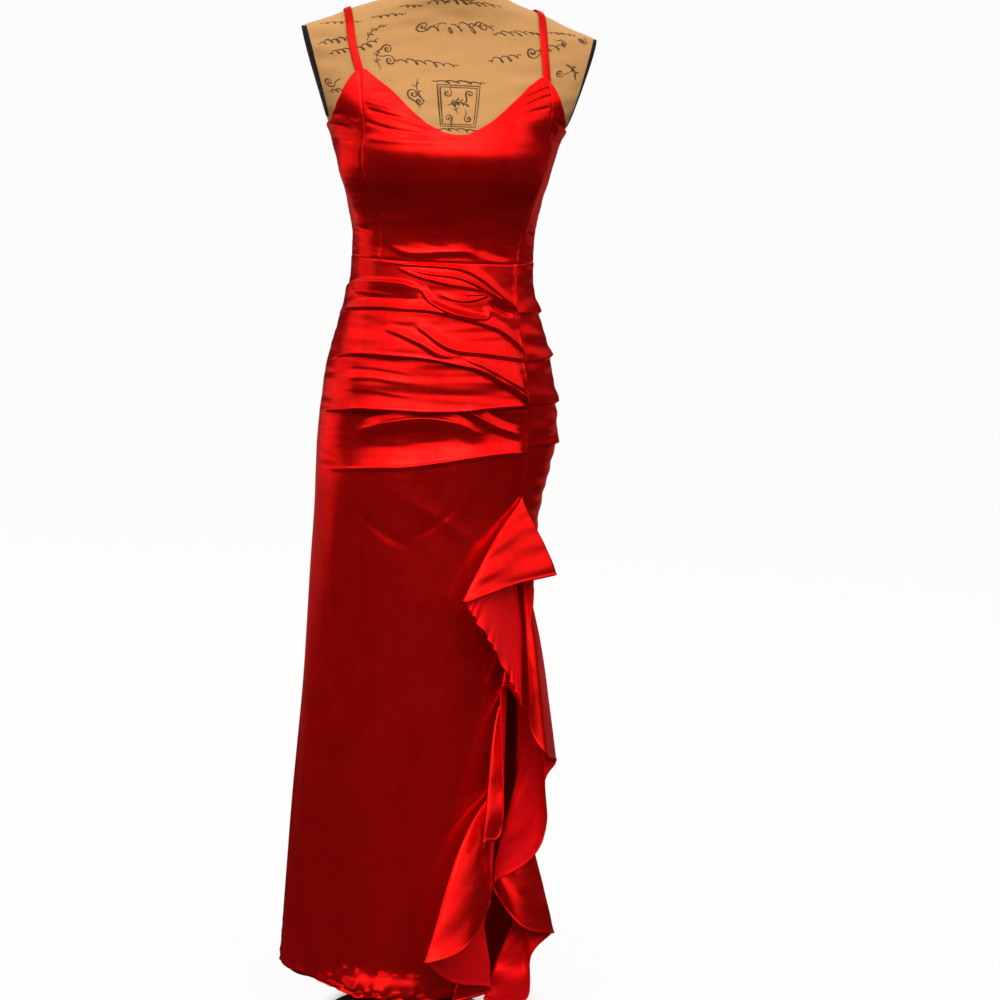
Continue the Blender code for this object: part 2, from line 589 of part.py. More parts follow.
BLACK = (0.015, 0.015, 0.016)
turned("base", [(0, 0), (BASE_RADIUS, 0), (BASE_RADIUS, BASE_EDGE * 0.7), (BASE_RADIUS - 0.003, BASE_EDGE),
                (COLLAR_RADIUS + 0.02, BASE_EDGE + 0.006), (COLLAR_RADIUS, BASE_EDGE + 0.014),
                (COLLAR_RADIUS, COLLAR_TOP), (0, COLLAR_TOP)], BLACK, 0.4, 0.3)
turned("pole", [(0, COLLAR_TOP + GAP), (POLE_RADIUS, COLLAR_TOP + GAP), (POLE_RADIUS, FORM_FOOT - GAP),
                (0, FORM_FOOT - GAP)], BLACK, 0.35, 0.3, 20)
cap_low = form_ring(NECK_TOP)
cap_rings = [cap_low + (0, 0, GAP)]
for step in (0, 30, 60, 80):
    shrink = 0.97 * np.cos(np.radians(step)) ** 0.5
    ring = cap_low * (shrink, shrink, 1) + (0, 0, GAP + 0.004 + CAP_RISE * np.sin(np.radians(step)))
    cap_rings.append(ring)
stacked("neck_cap", cap_rings, BLACK, 0.5)
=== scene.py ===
# %% [markdown]
# # A satin slip dress on a dress form
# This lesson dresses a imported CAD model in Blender. The CAD frame gives every piece its place, and each
# cell below makes one piece or one finish of the real object: woven satin panels, slit flounces, a
# linen-covered form and its black stand. All lengths are metres and +Z is up. The dress faces -Y.

import bpy
import numpy as np
from mathutils import Matrix


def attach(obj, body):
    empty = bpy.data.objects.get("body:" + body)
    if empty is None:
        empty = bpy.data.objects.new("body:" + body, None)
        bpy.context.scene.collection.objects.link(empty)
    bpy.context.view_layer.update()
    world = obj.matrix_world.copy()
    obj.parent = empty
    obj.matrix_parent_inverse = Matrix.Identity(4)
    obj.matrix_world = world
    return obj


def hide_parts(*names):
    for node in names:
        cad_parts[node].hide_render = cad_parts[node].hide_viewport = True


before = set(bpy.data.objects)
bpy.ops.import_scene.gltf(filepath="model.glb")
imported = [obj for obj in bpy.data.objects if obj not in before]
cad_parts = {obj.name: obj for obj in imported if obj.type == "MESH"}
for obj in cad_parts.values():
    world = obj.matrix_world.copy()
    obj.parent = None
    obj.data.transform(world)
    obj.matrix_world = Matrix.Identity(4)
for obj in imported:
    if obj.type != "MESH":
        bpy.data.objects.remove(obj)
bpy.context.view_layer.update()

# %% [markdown]
# ## The camera
# A product shot of a dress is taken from a few metres away with a long lens, so that the hem isn't shrunk.
# The camera stands 3.4 m off at bust height, a little to the wearer's right, and looks down at the hip. Its
# turn is given as three unit vectors, because a camera that is also rolled a little is easier to state so.

# %% Place the camera
CAMERA_AWAY = 3.4
CAMERA_HEIGHT = 1.296
CAMERA_AZIMUTH, CAMERA_YAW, CAMERA_PITCH, CAMERA_ROLL = np.radians([-5.0, 1.62, 8.9, 2.6])
LENS_MM, SENSOR_MM = 89.53, 36.0


def camera_turn():
    """Columns to the right, up and backwards: yaw about the vertical, then pitch down, then roll."""
    look = np.array([-np.sin(CAMERA_AZIMUTH), np.cos(CAMERA_AZIMUTH), 0.0])
    right = np.array([np.cos(CAMERA_AZIMUTH), np.sin(CAMERA_AZIMUTH), 0.0])
    up = np.array([0.0, 0.0, 1.0])
    ahead = look * np.cos(CAMERA_YAW) + right * np.sin(CAMERA_YAW)
    across = right * np.cos(CAMERA_YAW) - look * np.sin(CAMERA_YAW)
    down = ahead * np.cos(CAMERA_PITCH) - up * np.sin(CAMERA_PITCH)
    over = ahead * np.sin(CAMERA_PITCH) + up * np.cos(CAMERA_PITCH)
    rolled = across * np.cos(CAMERA_ROLL) + over * np.sin(CAMERA_ROLL)
    raised = over * np.cos(CAMERA_ROLL) - across * np.sin(CAMERA_ROLL)
    return np.stack([rolled, raised, -down], axis=1)


camera_data = bpy.data.cameras.new("camera")
camera_data.lens = LENS_MM
camera_data.sensor_width = SENSOR_MM
camera = bpy.data.objects.new("camera", camera_data)
camera_place = np.eye(4)
camera_place[:3, :3] = camera_turn()
camera_place[:2, 3] = CAMERA_AWAY * np.sin(CAMERA_AZIMUTH), -CAMERA_AWAY * np.cos(CAMERA_AZIMUTH)
camera_place[2, 3] = CAMERA_HEIGHT
camera.matrix_world = Matrix(camera_place.tolist())
bpy.context.scene.collection.objects.link(camera)
bpy.context.scene.camera = camera
print("camera at", np.round(camera_place[:3, 3], 3))

# %% [markdown]
# ## The studio
# Satin is half mirror: what it shows is the light round it. One broad lamp high in front makes each slope
# that faces up glow, and a dim room leaves each slope that faces down deep red. The floor is pale. It is
# nearly white to the eye but dim to the cloth's reflections, as a floor beyond the lamp's reach would be,
# and lighter again far behind the dress. Under the skirt its white glow fades out, a painted contact
# shadow, so there it shows only the real light. A Light Path node on the floor and on the world tells the
# eye's rays from the cloth's.

# %% Light the studio
WARM = (1.0, 0.93, 0.84)


def lamp(name, place, target, size, watts):
    """A warm rectangular soft box of size (wide, tall) at a place, turned to face its target."""
    data = bpy.data.lights.new(name, "AREA")
    data.shape = "RECTANGLE"
    data.size, data.size_y = size
    data.energy = watts
    data.color = WARM
    made = bpy.data.objects.new(name, data)
    back = np.array(place, float) - np.array(target, float)
    back = back / np.linalg.norm(back)
    right = np.cross([0.0, 0.0, 1.0], back)
    right = right / np.linalg.norm(right)
    turn = np.eye(4)
    turn[:3, :3] = np.stack([right, np.cross(back, right), back], axis=1)
    turn[:3, 3] = place
    made.matrix_world = Matrix(turn.tolist())
    bpy.context.scene.collection.objects.link(made)
    return made


lamp("key_box", (-0.35, -2.30, 3.1), (0.0, 0.0, 0.95), (2.6, 1.5), 60.0)
lamp("side_box", (-3.0, 0.9, 1.6), (0.0, 0.0, 1.0), (2.0, 2.4), 12.0)
lamp("back_box", (0.7, 3.0, 2.6), (0.0, 0.0, 1.0), (2.4, 1.6), 30.0)
lamp("low_box", (-1.5, 0.8, 0.75), (-0.1, -0.05, 1.05), (1.6, 0.35), 1.0)


def with_tree(owner):
    """A new world or material, and its node tree, emptied."""
    owner.use_nodes = True
    owner.node_tree.nodes.clear()
    return owner, owner.node_tree


def feed(tree, socket, value):
    """Links a socket to an input, or sets the input to a number or a colour."""
    if isinstance(value, bpy.types.NodeSocket):
        tree.links.new(value, socket)
    else:
        socket.default_value = value


def node(tree, kind, settings=None, **inputs):
    """A shader node of a kind with its settings, and its inputs by name, or by number as i0, i1 and so on."""
    made = tree.nodes.new("ShaderNode" + kind)
    for name, value in (settings or {}).items():
        setattr(made, name, value)
    for name, value in inputs.items():
        numbered = name[0] == "i" and name[1:].isdigit()
        feed(tree, made.inputs[int(name[1:]) if numbered else name], value)
    return made


def ranged(tree, value, start, end=(0.0, 1.0), soft=False):
    """A value carried from the range start to the range end, in a straight line or as a soft step."""
    step = "SMOOTHSTEP" if soft else "LINEAR"
    made = node(tree, "MapRange", {"interpolation_type": step}, Value=value)
    for name, number in zip(("From Min", "From Max", "To Min", "To Max"), (*start, *end)):
        made.inputs[name].default_value = number
    return made.outputs[0]


EYE_WHITE = 0.97            # the room and the floor, as the eye sees them
ROOM_GLOW = 0.055           # the dim lower half of the room, to the cloth
DOME_GLOW = 1.50            # the lit ceiling, to a surface that faces up
DOME_RISE = (0.09, 0.44)    # sine of the elevation where the ceiling starts and where it is full
DOME_DEPTH = (-0.6, 0.6)    # y of the direction where the ceiling is brightest and where it is dimmest
DOME_BEHIND = 0.55          # share of it that is left behind the dress


def make_room():
    """The world: white to the eye, and to the cloth a dim room under a ceiling that is brightest in front."""
    room, tree = with_tree(bpy.data.worlds.new("studio"))
    path = node(tree, "LightPath")
    way = node(tree, "SeparateXYZ", Vector=node(tree, "TexCoord").outputs["Generated"])
    ceiling = ranged(tree, way.outputs["Z"], DOME_RISE, (0.0, DOME_GLOW), soft=True)
    ahead = ranged(tree, way.outputs["Y"], DOME_DEPTH, (1.0, DOME_BEHIND))
    dome = node(tree, "Math", {"operation": "MULTIPLY_ADD"}, i0=ceiling, i1=ahead, i2=ROOM_GLOW)
    seen = node(tree, "Background", Color=(1.0, 1.0, 1.0, 1.0), Strength=EYE_WHITE)
    glow = node(tree, "Background", Color=(1.0, 0.94, 0.88, 1.0), Strength=dome.outputs[0])
    mix = node(tree, "MixShader", i0=path.outputs["Is Camera Ray"], i1=glow.outputs[0], i2=seen.outputs[0])
    node(tree, "OutputWorld", Surface=mix.outputs[0])
    return room


FLOOR_HALF = 14.0
FLOOR_PALE = (0.92, 0.91, 0.90, 1.0)
PAINTED_SHADOW_MIDDLE = (0.05, 0.07, 0.0)   # middle of the painted contact shadow: inside the skirt the floor has no glow, only real light
PAINTED_SHADOW_REACH = (0.125, 0.175)      # how far from there the painted shadow gives way to the glow, and where the glow is full
LIT_SHARE = 0.95                # share of the lit floor that glows white, so that it shows no edge
FAR_FLOOR = (1.0, 3.5)          # y where the floor starts to grow lighter to the cloth and where it stops
FLOOR_SHADES = (0.050, 0.320)   # its shade to the cloth near the dress and far behind it


def floor_finish():
    """To the eye a white glow that fades out inside the skirt, a painted contact shadow where the floor is
    matt. To the cloth a dim matt floor.
    """
    paint, tree = with_tree(bpy.data.materials.new("studio_floor"))
    path = node(tree, "LightPath")
    place = node(tree, "TexCoord").outputs["Object"]
    behind = node(tree, "SeparateXYZ", Vector=place).outputs["Y"]
    dim = node(tree, "BsdfDiffuse", Color=ranged(tree, behind, FAR_FLOOR, FLOOR_SHADES, soft=True))
    away = node(tree, "VectorMath", {"operation": "DISTANCE"}, i0=place, i1=PAINTED_SHADOW_MIDDLE)
    # the glow fades out under the skirt: a painted contact shadow on the floor
    glow_beyond_painted_shadow = ranged(tree, away.outputs["Value"], PAINTED_SHADOW_REACH, (0.0, LIT_SHARE), soft=True)
    matt = node(tree, "BsdfDiffuse", Color=FLOOR_PALE)
    lit = node(tree, "Emission", Color=(1.0, 1.0, 1.0, 1.0), Strength=EYE_WHITE)
    pale = node(tree, "MixShader", i0=glow_beyond_painted_shadow, i1=matt.outputs[0], i2=lit.outputs[0])
    mix = node(tree, "MixShader", i0=path.outputs["Is Camera Ray"], i1=dim.outputs[0], i2=pale.outputs[0])
    node(tree, "OutputMaterial", Surface=mix.outputs[0])
    return paint


def make_floor():
    """One level square of four corners."""
    mesh = bpy.data.meshes.new("studio_floor")
    corners = [(x * FLOOR_HALF, y * FLOOR_HALF, 0) for x, y in ((-1, -1), (1, -1), (1, 1), (-1, 1))]
    mesh.from_pydata(corners, [], [(0, 1, 2, 3)])
    mesh.materials.append(floor_finish())
    made = bpy.data.objects.new("studio_floor", mesh)
    bpy.context.scene.collection.objects.link(made)
    return made


bpy.context.scene.world = make_room()
floor = make_floor()
bpy.context.scene.view_settings.view_transform = "Standard"

# %% [markdown]
# ## Sizes of the dress
# A place on the cloth has two numbers: its turn about the pole in degrees, 0 at the front centre and +90 at
# the wearer's left, and its height. A table of level sections gives the body's half widths and depths, and a
# smooth curve runs through each column, so every panel of the dress can be cut from one and the same skin.

# %% The skin of the body
WALL = 0.0009           # thickness of the satin with its lining
GAP = 0.0003            # between two pieces that meet
FORM_EASE = 0.005       # from the satin's outer face to the linen
WAIST = 1.0933
HEM = 0.095
STRAP_BASE = 1.342
BACK_TOP = 1.252
SIDE_TOP = 1.262
SLIT_TOP = 0.782
SIDE_SEAM = 97.0
NECK_TOP = 1.530
FORM_FOOT = 0.765
SECTION_COLUMNS = ("height", "left", "right", "front", "back", "bend")
SECTIONS = np.array([
    (0.060, 0.189, 0.159, 0.160, 0.161, 1.60),
    (0.300, 0.178, 0.153, 0.150, 0.152, 1.45),
    (0.500, 0.168, 0.150, 0.138, 0.143, 1.25),
    (0.660, 0.163, 0.150, 0.127, 0.136, 1.10),
    (0.760, 0.160, 0.153, 0.119, 0.133, 1.00),
    (0.800, 0.160, 0.161, 0.115, 0.132, 0.97),
    (0.850, 0.159, 0.170, 0.112, 0.131, 0.95),
    (0.900, 0.155, 0.168, 0.112, 0.128, 0.92),
    (0.950, 0.149, 0.159, 0.1125, 0.120, 0.90),
    (0.990, 0.139, 0.149, 0.111, 0.108, 0.90),
    (1.030, 0.129, 0.136, 0.1075, 0.096, 0.90),
    (1.060, 0.122, 0.129, 0.103, 0.090, 0.90),
    (1.092, 0.121, 0.127, 0.0975, 0.087, 0.90),
    (1.125, 0.121, 0.127, 0.0945, 0.087, 0.90),
    (1.150, 0.126, 0.130, 0.100, 0.090, 0.90),
    (1.180, 0.133, 0.136, 0.111, 0.095, 0.90),
    (1.210, 0.142, 0.144, 0.124, 0.100, 0.90),
    (1.235, 0.150, 0.150, 0.131, 0.103, 0.90),
    (1.262, 0.159, 0.159, 0.127, 0.105, 0.90),
    (1.300, 0.188, 0.188, 0.110, 0.106, 0.88),
    (1.345, 0.212, 0.212, 0.083, 0.098, 0.86),
    (1.380, 0.216, 0.216, 0.065, 0.082, 0.85),
    (1.395, 0.205, 0.205, 0.059, 0.073, 0.85),
    (1.410, 0.165, 0.165, 0.055, 0.063, 0.85),
    (1.425, 0.130, 0.130, 0.054, 0.058, 0.86),
    (1.440, 0.088, 0.088, 0.055, 0.057, 0.92),
    (1.455, 0.070, 0.070, 0.057, 0.058, 1.00),
    (1.475, 0.063, 0.063, 0.058, 0.059, 1.00),
    (1.560, 0.061, 0.061, 0.058, 0.059, 1.00),
])
CUPS = ((-31.0, 1.238), (31.0, 1.238))
CUP_RISE, CUP_TURN, CUP_HEIGHT = 0.006, 17.0, 0.045


def smooth(at, knots, values):
    """A curve through the values at the knots with no corner at a knot: between two knots it is the cubic
    that has their values and their slopes."""
    slopes = np.gradient(values, knots)
    at = np.clip(at, knots[0], knots[-1])
    i = np.clip(np.searchsorted(knots, at) - 1, 0, len(knots) - 2)
    span = knots[i + 1] - knots[i]
    t = (at - knots[i]) / span
    ends = values[i] * (2 * t**3 - 3 * t**2 + 1) + values[i + 1] * (3 * t**2 - 2 * t**3)
    return ends + span * (slopes[i] * (t**3 - 2 * t**2 + t) + slopes[i + 1] * (t**3 - t**2))


def fade(x):
    """0 below 0, 1 above 1, and a soft step between: three times the square less twice the cube."""
    x = np.clip(x, 0, 1)
    return x * x * (3 - 2 * x)


def bell(x):
    """A hill of height 1: e to the power of minus the square."""
    return np.exp(-x * x)


def table(rows, column, at):
    """The smooth curve through one column of a table whose first column is the height."""
    return smooth(at, rows[:, 0], rows[:, column])


def section(height):
    """The level section's left, right, front, back and bend at a height."""
    return [table(SECTIONS, SECTION_COLUMNS.index(name), height) for name in SECTION_COLUMNS[1:]]


def wrapped(turn):
    """The same turn, from -180 to 180."""
    return (turn + 180) % 360 - 180


def skin(turn, height, ease=0.0):
    """The body under the folds: x is half width times the sine of the turn, and y is depth times the cosine
    raised to the bend, with a bell added for each cup. Everything moves in by ease."""
    left, right, front, back, bend = section(height)
    side, ahead = np.sin(np.radians(turn)), np.cos(np.radians(turn))
    wide = np.where(side < 0, left, right) - ease
    deep = np.where(ahead > 0, front, back) - ease
    for cup_turn, cup_height in CUPS:
        off = ((wrapped(turn) - cup_turn) / CUP_TURN) ** 2 + ((height - cup_height) / CUP_HEIGHT) ** 2
        deep = deep + CUP_RISE * np.exp(-off)
    depth = deep * np.sign(ahead) * np.abs(ahead) ** bend
    return np.stack([wide * side, -depth, height + 0 * side], axis=-1)


def unit(vectors):
    """Each vector over its length."""
    return vectors / np.linalg.norm(vectors, axis=-1, keepdims=True)


def normals(shape, turn, height):
    """Unit normals of shape(turn, height): the cross product of small steps across and up."""
    d_turn, d_height = 0.2, 0.0005
    across = shape(turn + d_turn, height) - shape(turn - d_turn, height)
    upward = shape(turn, height + d_height) - shape(turn, height - d_height)
    return unit(np.cross(across, upward))


print("hip depth ahead:", round(float(-skin(np.array(0.0), np.array(0.95))[1]), 4))

# %% [markdown]
# ## Folds
# Satin that is pleated into a side seam falls in folds with one sharp lip each. Above its lip the cloth
# slopes out gently, and that slope catches the light as a broad pillow. Under the lip it drops back almost at
# once, into a dark line. A cloth simulation would give folds of its own choosing, so each fold is given one
# by one: a path over the skin and a profile across it, as a pattern maker would mark pleats.

# %% A fold along a path
METRES_PER_DEGREE = 0.0024   # across the cloth at the hip
PATH_STEPS = 48
SLOPE_POWER = 1.25
LIP_ROLL, LIP_AT, LIP_REACH = 0.00055, 0.0009, 0.0017   # the roll's height, place above the path and reach
LIP_FULL_RISE = 0.003        # a fold that rises less than this has less of a roll


def traced(points):
    """Even steps along a smooth curve through (turn, height) points."""
    points = np.array(points, float)
    index = np.arange(len(points), dtype=float)
    fine = np.linspace(0, len(points) - 1, PATH_STEPS)
    return np.stack([smooth(fine, index, points[:, k]) for k in (0, 1)], axis=-1)


def to_path(turn, height, points):
    """(signed distance from the path, fraction along it). The distance is positive above a path that runs to
    +turn: it is to the nearest point of the nearest straight step."""
    line = traced(points) * (METRES_PER_DEGREE, 1.0)
    start, step = line[:-1], np.diff(line, axis=0)
    place = np.stack([turn * METRES_PER_DEGREE, height], axis=-1)
    best = np.full(turn.shape, 1e9)
    signed, along = np.zeros(turn.shape), np.zeros(turn.shape)
    for k, (origin, way) in enumerate(zip(start, step)):
        length = np.hypot(*way)
        off = place - origin
        t = np.clip((off @ way) / length**2, 0, 1)
        gap = off - t[..., None] * way
        distance = np.hypot(gap[..., 0], gap[..., 1])
        nearer = distance < best
        best = np.where(nearer, distance, best)
        side = np.sign(way[0] * off[..., 1] - way[1] * off[..., 0])
        signed = np.where(nearer, side * distance, signed)
        along = np.where(nearer, (k + t) / len(step), along)
    return signed, along


def fold(turn, height, rise, above, below, tails, points):
    """Rise of one fold. On its upper side it is what is left of the reach above, to a power a little over 1,
    so it slopes with hardly any curve. On its lower side it is a soft step over the reach below. On the lip
    there is a narrow roll, and both tails fade away."""
    points = np.array(points, float)
    reach = max(above, below) * 1.05
    near = ((turn > points[:, 0].min() - reach / METRES_PER_DEGREE)
            & (turn < points[:, 0].max() + reach / METRES_PER_DEGREE)
            & (height > points[:, 1].min() - reach) & (height < points[:, 1].max() + reach))
    made = np.zeros(turn.shape)
    if not near.any():
        return made
    off, along = to_path(turn[near], height[near], points)
    upper = np.clip(1 - off / above, 0, 1) ** SLOPE_POWER
    lower = fade(1 + off / below)
    roll = LIP_ROLL * np.clip(rise / LIP_FULL_RISE, 0, 1) * bell((off - LIP_AT) / LIP_REACH)
    head, tail = tails
    ends = (fade(along / head) if head else 1.0) * (fade((1 - along) / tail) if tail else 1.0)
    made[near] = (rise * np.where(off > 0, upper, lower) + roll) * ends
    return made


def folds(rows, turn, height):
    """The sum of a table of folds."""
    return sum(fold(turn, height, *row) for row in rows)


RIPPLE_WAVES = 18


def ripples(across, up, length, stretch, seed):
    """Fine unrest from -1 to 1: the mean of plane waves of about one length, drawn out across the cloth, with
    directions and phases drawn from a seeded generator."""
    draw = np.random.default_rng(seed)
    waves = 2 * np.pi / length * draw.uniform(0.6, 1.5, RIPPLE_WAVES)
    lean = draw.normal(0, 0.45, RIPPLE_WAVES)
    phase = draw.uniform(0, 2 * np.pi, RIPPLE_WAVES)
    total = 0 * across
    for wave, angle, start in zip(waves, lean, phase):
        total = total + np.sin(wave * (np.sin(angle) * across / stretch + np.cos(angle) * up) + start)
    return total / np.sqrt(RIPPLE_WAVES)


print("ripple range:", np.round(np.ptp(ripples(np.linspace(0, 1, 500), 0, 0.02, 1, 3)), 2))

# %% [markdown]
# ## Cloth as a mesh
# Each panel is a closed shell: an outer grid, an inner grid at half its density, and a rim that joins them.
# Along a seam the cloth is pulled down into the stitches, so the outer face dips there. Every point also
# carries a map in metres, for the threads, and its distance from the nearest edge, for the seam stitches.

# %% Make a closed shell of cloth
def make_mesh(name, points, corners, sizes, finishes, uv=None, measures=None, paint=None):
    """A mesh from flat arrays: the corner list, the number of corners of each face, what each point carries
    and which of the finishes each face is painted with."""
    mesh = bpy.data.meshes.new(name)
    mesh.vertices.add(len(points))
    mesh.vertices.foreach_set("co", np.ascontiguousarray(points, np.float32).ravel())
    mesh.loops.add(len(corners))
    mesh.loops.foreach_set("vertex_index", np.ascontiguousarray(corners, np.int32))
    mesh.polygons.add(len(sizes))
    starts = np.concatenate([[0], np.cumsum(sizes)[:-1]])
    mesh.polygons.foreach_set("loop_start", np.ascontiguousarray(starts, np.int32))
    for finish in finishes:
        mesh.materials.append(finish)
    if paint is not None:
        mesh.polygons.foreach_set("material_index", np.ascontiguousarray(paint, np.int32))
    mesh.polygons.foreach_set("use_smooth", np.ones(len(sizes), bool))
    if uv is not None:
        layer = mesh.uv_layers.new(name="cloth")
        layer.data.foreach_set("uv", np.ascontiguousarray(uv[corners], np.float32).ravel())
    for key, values in (measures or {}).items():
        measure = mesh.attributes.new(key, "FLOAT", "POINT")
        measure.data.foreach_set("value", np.ascontiguousarray(values, np.float32))
    mesh.update(calc_edges=True)
    mesh.validate()
    made = bpy.data.objects.new(name, mesh)
    bpy.context.scene.collection.objects.link(made)
    return made


def grid_faces(at, flip=False):
    """Four corners for each cell of a grid of point numbers."""
    ring = np.stack([at[:-1, :-1], at[:-1, 1:], at[1:, 1:], at[1:, :-1]], axis=-1).reshape(-1, 4)
    return ring[:, ::-1] if flip else ring


def rim_of(at):
    """The grid's edge, once round, with the faces on its left."""
    return np.concatenate([at[0, :-1], at[:-1, -1], at[-1, :0:-1], at[:0:-1, 0]])


def shell(name, outer, inner, uv, to_edge, finishes, every=2):
    """Outer grid, every second point of the inner grid turned to face in, and a rim of faces that each have
    three points of the outer edge and two of the inner one. With every=1 both grids are as fine."""
    rows, columns = outer.shape[:2]
    sparse = inner[::every, ::every]
    at_outer = np.arange(rows * columns).reshape(rows, columns)
    at_inner = rows * columns + np.arange(sparse.shape[0] * sparse.shape[1]).reshape(sparse.shape[:2])
    front, back = grid_faces(at_outer), grid_faces(at_inner, flip=True)
    pair = rim_of(at_outer).reshape(-1, every)
    inside = rim_of(at_inner)
    rim = np.concatenate([np.roll(pair[:, :1], -1, 0), pair[:, ::-1], inside[:, None],
                          np.roll(inside, -1)[:, None]], axis=1)
    corners = np.concatenate([front.ravel(), back.ravel(), rim.ravel()])
    sizes = np.concatenate([np.full(len(front), 4), np.full(len(back), 4), np.full(len(rim), every + 3)])
    paint = np.concatenate([np.zeros(len(front)), np.ones(len(back)), np.zeros(len(rim))])
    points = np.concatenate([outer.reshape(-1, 3), sparse.reshape(-1, 3)])
    uv = np.concatenate([uv.reshape(-1, 2), uv[::every, ::every].reshape(-1, 2)])
    edge = np.concatenate([to_edge.ravel(), to_edge[::every, ::every].ravel()])
    made = make_mesh(name, points, corners, sizes, finishes, uv, {"to_edge": edge}, paint)
    print(f"{name}: {sum(sizes) - 2 * len(sizes)} triangles")
    return made


def odd(count):
    """The count itself if it is odd, or else one more."""
    return count + 1 - count % 2


def fractions(count, near_edge):
    """Even fractions from 0 to 1, with a few more close to both ends, an odd number in all."""
    extra = np.array(near_edge)
    steps = np.linspace(0, 1, odd(count))
    return np.unique(np.concatenate([steps, extra, 1 - extra]))


SEAM_DIP, SEAM_REACH = 0.00045, 0.0016      # how far and how wide the stitches pull the cloth down
SEAM_PUCKER = 0.35                          # share of that dip that comes and goes along the seam
PUCKER_LENGTH, PUCKER_DRIFT = 0.0045, 0.017
BESIDE_DIP, BESIDE_REACH, BESIDE_LENGTH = 0.00010, 0.006, 0.0032    # fainter and wider, beside the stitches
TURN_OF_EDGE = 0.0006                       # how round a cut or turned edge is
INNER_SLACK = 0.0004                        # the inner face follows only a dip deeper than this


def turned_edge(distance):
    """How much lower the outer face lies near a turned edge: half the wall at the edge itself."""
    return 0.5 * WALL * np.clip(1 - distance / TURN_OF_EDGE, 0, 1) ** 2


def sewn_edge(distance, along, seed):
    """How much lower the outer face lies near a seam: a bell with small puckers along it, a fainter and wider
    one, and the round of the edge itself."""
    pucker = SEAM_PUCKER * np.sin(along / PUCKER_LENGTH + 2 * np.sin(along / PUCKER_DRIFT + seed))
    dip = SEAM_DIP * bell(distance / SEAM_REACH) * (1 + pucker)
    wider = BESIDE_DIP * bell(distance / BESIDE_REACH) * np.sin(along / BESIDE_LENGTH + seed)
    return dip + wider + turned_edge(distance)


def panel(name, rise, left, right, low, high, columns, levels, finishes, seams):
    """A panel between the turns left(height) and right(height) and the heights low, or low(fraction), and
    high(fraction), whose outer face is the skin plus rise(turn, height). seams says which of its edges, in
    the order left, right, low, high, is pulled into a seam; the others are turned edges."""
    across, up = np.meshgrid(columns, levels)
    foot = low(across) if callable(low) else low
    height = foot + (high(across) - foot) * up
    start, end = left(height), right(height)
    turn = start + (end - start) * across
    per_turn = np.linalg.norm(skin(turn + 0.5, height) - skin(turn - 0.5, height), axis=-1)
    turn = turn + GAP / 2 / per_turn * (1 - 2 * across)
    width = (end - start) * per_turn
    middle = width * (across - 0.5)
    edges = [across * width, (1 - across) * width, height - foot, high(across) - height]
    settled = 0 * height
    for k, (distance, sewn) in enumerate(zip(edges, seams)):
        along = height if k < 2 else middle
        settled = settled + (sewn_edge(distance, along, k) if sewn else turned_edge(distance))
    facing = normals(skin, turn, height)
    base = skin(turn, height)
    lifted = rise(turn, height)
    outer = base + facing * (lifted - settled)[..., None]
    inner = base + facing * (lifted - np.maximum(settled - INNER_SLACK, 0) - WALL)[..., None]
    to_edge = np.minimum.reduce(edges)
    return shell(name, outer, inner, np.stack([middle, height], axis=-1), to_edge, finishes)


def constant(value):
    """A function that is the same everywhere."""
    return lambda x: value + 0 * x


print("rows of an even grid:", len(fractions(10, (0.01, 0.02))))

# %% [markdown]
# ## Satin
# Satin's threads float over several others before they go under one, so the cloth is smooth and mirrors
# along them, and its mirror is as red as its dye: that asks for a metal-like red shader that is fairly
# rough. A shared group gives what varies over the cloth: fine threads, slubs where a thread is thicker, a
# cloudy shade where it has been pressed, and the stitches near an edge. The wrong side is duller.

# %% Groups for cloth
def new_group(name, inputs, outputs):
    """An empty node group with float, vector or colour sockets, and its input and output nodes."""
    group = bpy.data.node_groups.new(name, "ShaderNodeTree")
    for direction, sockets in (("INPUT", inputs), ("OUTPUT", outputs)):
        for socket, kind in sockets.items():
            group.interface.new_socket(name=socket, in_out=direction, socket_type="NodeSocket" + kind)
    return group, group.nodes.new("NodeGroupInput"), group.nodes.new("NodeGroupOutput")


def maths(tree, operation, first, second=0.0, third=0.0):
    """The result of a calculation with up to three numbers or sockets."""
    made = tree.nodes.new("ShaderNodeMath")
    made.operation = operation
    for socket, value in zip(made.inputs, (first, second, third)):
        feed(tree, socket, value)
    return made.outputs[0]


def noise(tree, vector, scale, detail, rough=0.5):
    """Noise of a vector stretched by scale = (across, up)."""
    mapped = node(tree, "Mapping", Vector=vector, Scale=(scale[0], scale[1], scale[-1]))
    return node(tree, "TexNoise", Vector=mapped.outputs[0], Scale=1.0, Detail=detail,
                Roughness=rough).outputs["Fac"]


def blend(tree, *parts):
    """The sum of (value, share) pairs, each value times its share."""
    total = maths(tree, "MULTIPLY", *parts[0])
    for part in parts[1:]:
        total = maths(tree, "ADD", total, maths(tree, "MULTIPLY", *part))
    return total


def mixed(tree, share, first, second):
    """A colour on the way from the first to the second, each of which is a colour or a socket."""
    made = node(tree, "Mix", {"data_type": "RGBA"}, i0=share)
    for number, value in ((6, first), (7, second)):
        feed(tree, made.inputs[number], value if isinstance(value, bpy.types.NodeSocket) else (*value, 1.0))
    return made.outputs[2]


def placed(tree, group, **inputs):
    """A group as a node, with its inputs by name."""
    made = tree.nodes.new("ShaderNodeGroup")
    made.node_tree = group
    for name, value in inputs.items():
        feed(tree, made.inputs[name], value)
    return made


def mapped_range(tree, value, low, high):
    """A value from 0 to 1 carried to the range from low to high."""
    return maths(tree, "MULTIPLY_ADD", value, high - low, low)


def principled(made, tree, view, **inputs):
    """Ends a material in a shader whose inputs are named with _ for a space. view is its plain colour."""
    shader = node(tree, "BsdfPrincipled", **{name.replace("_", " "): value for name, value in inputs.items()})
    node(tree, "OutputMaterial", Surface=shader.outputs[0])
    made.diffuse_color = (*view, 1.0)
    return made


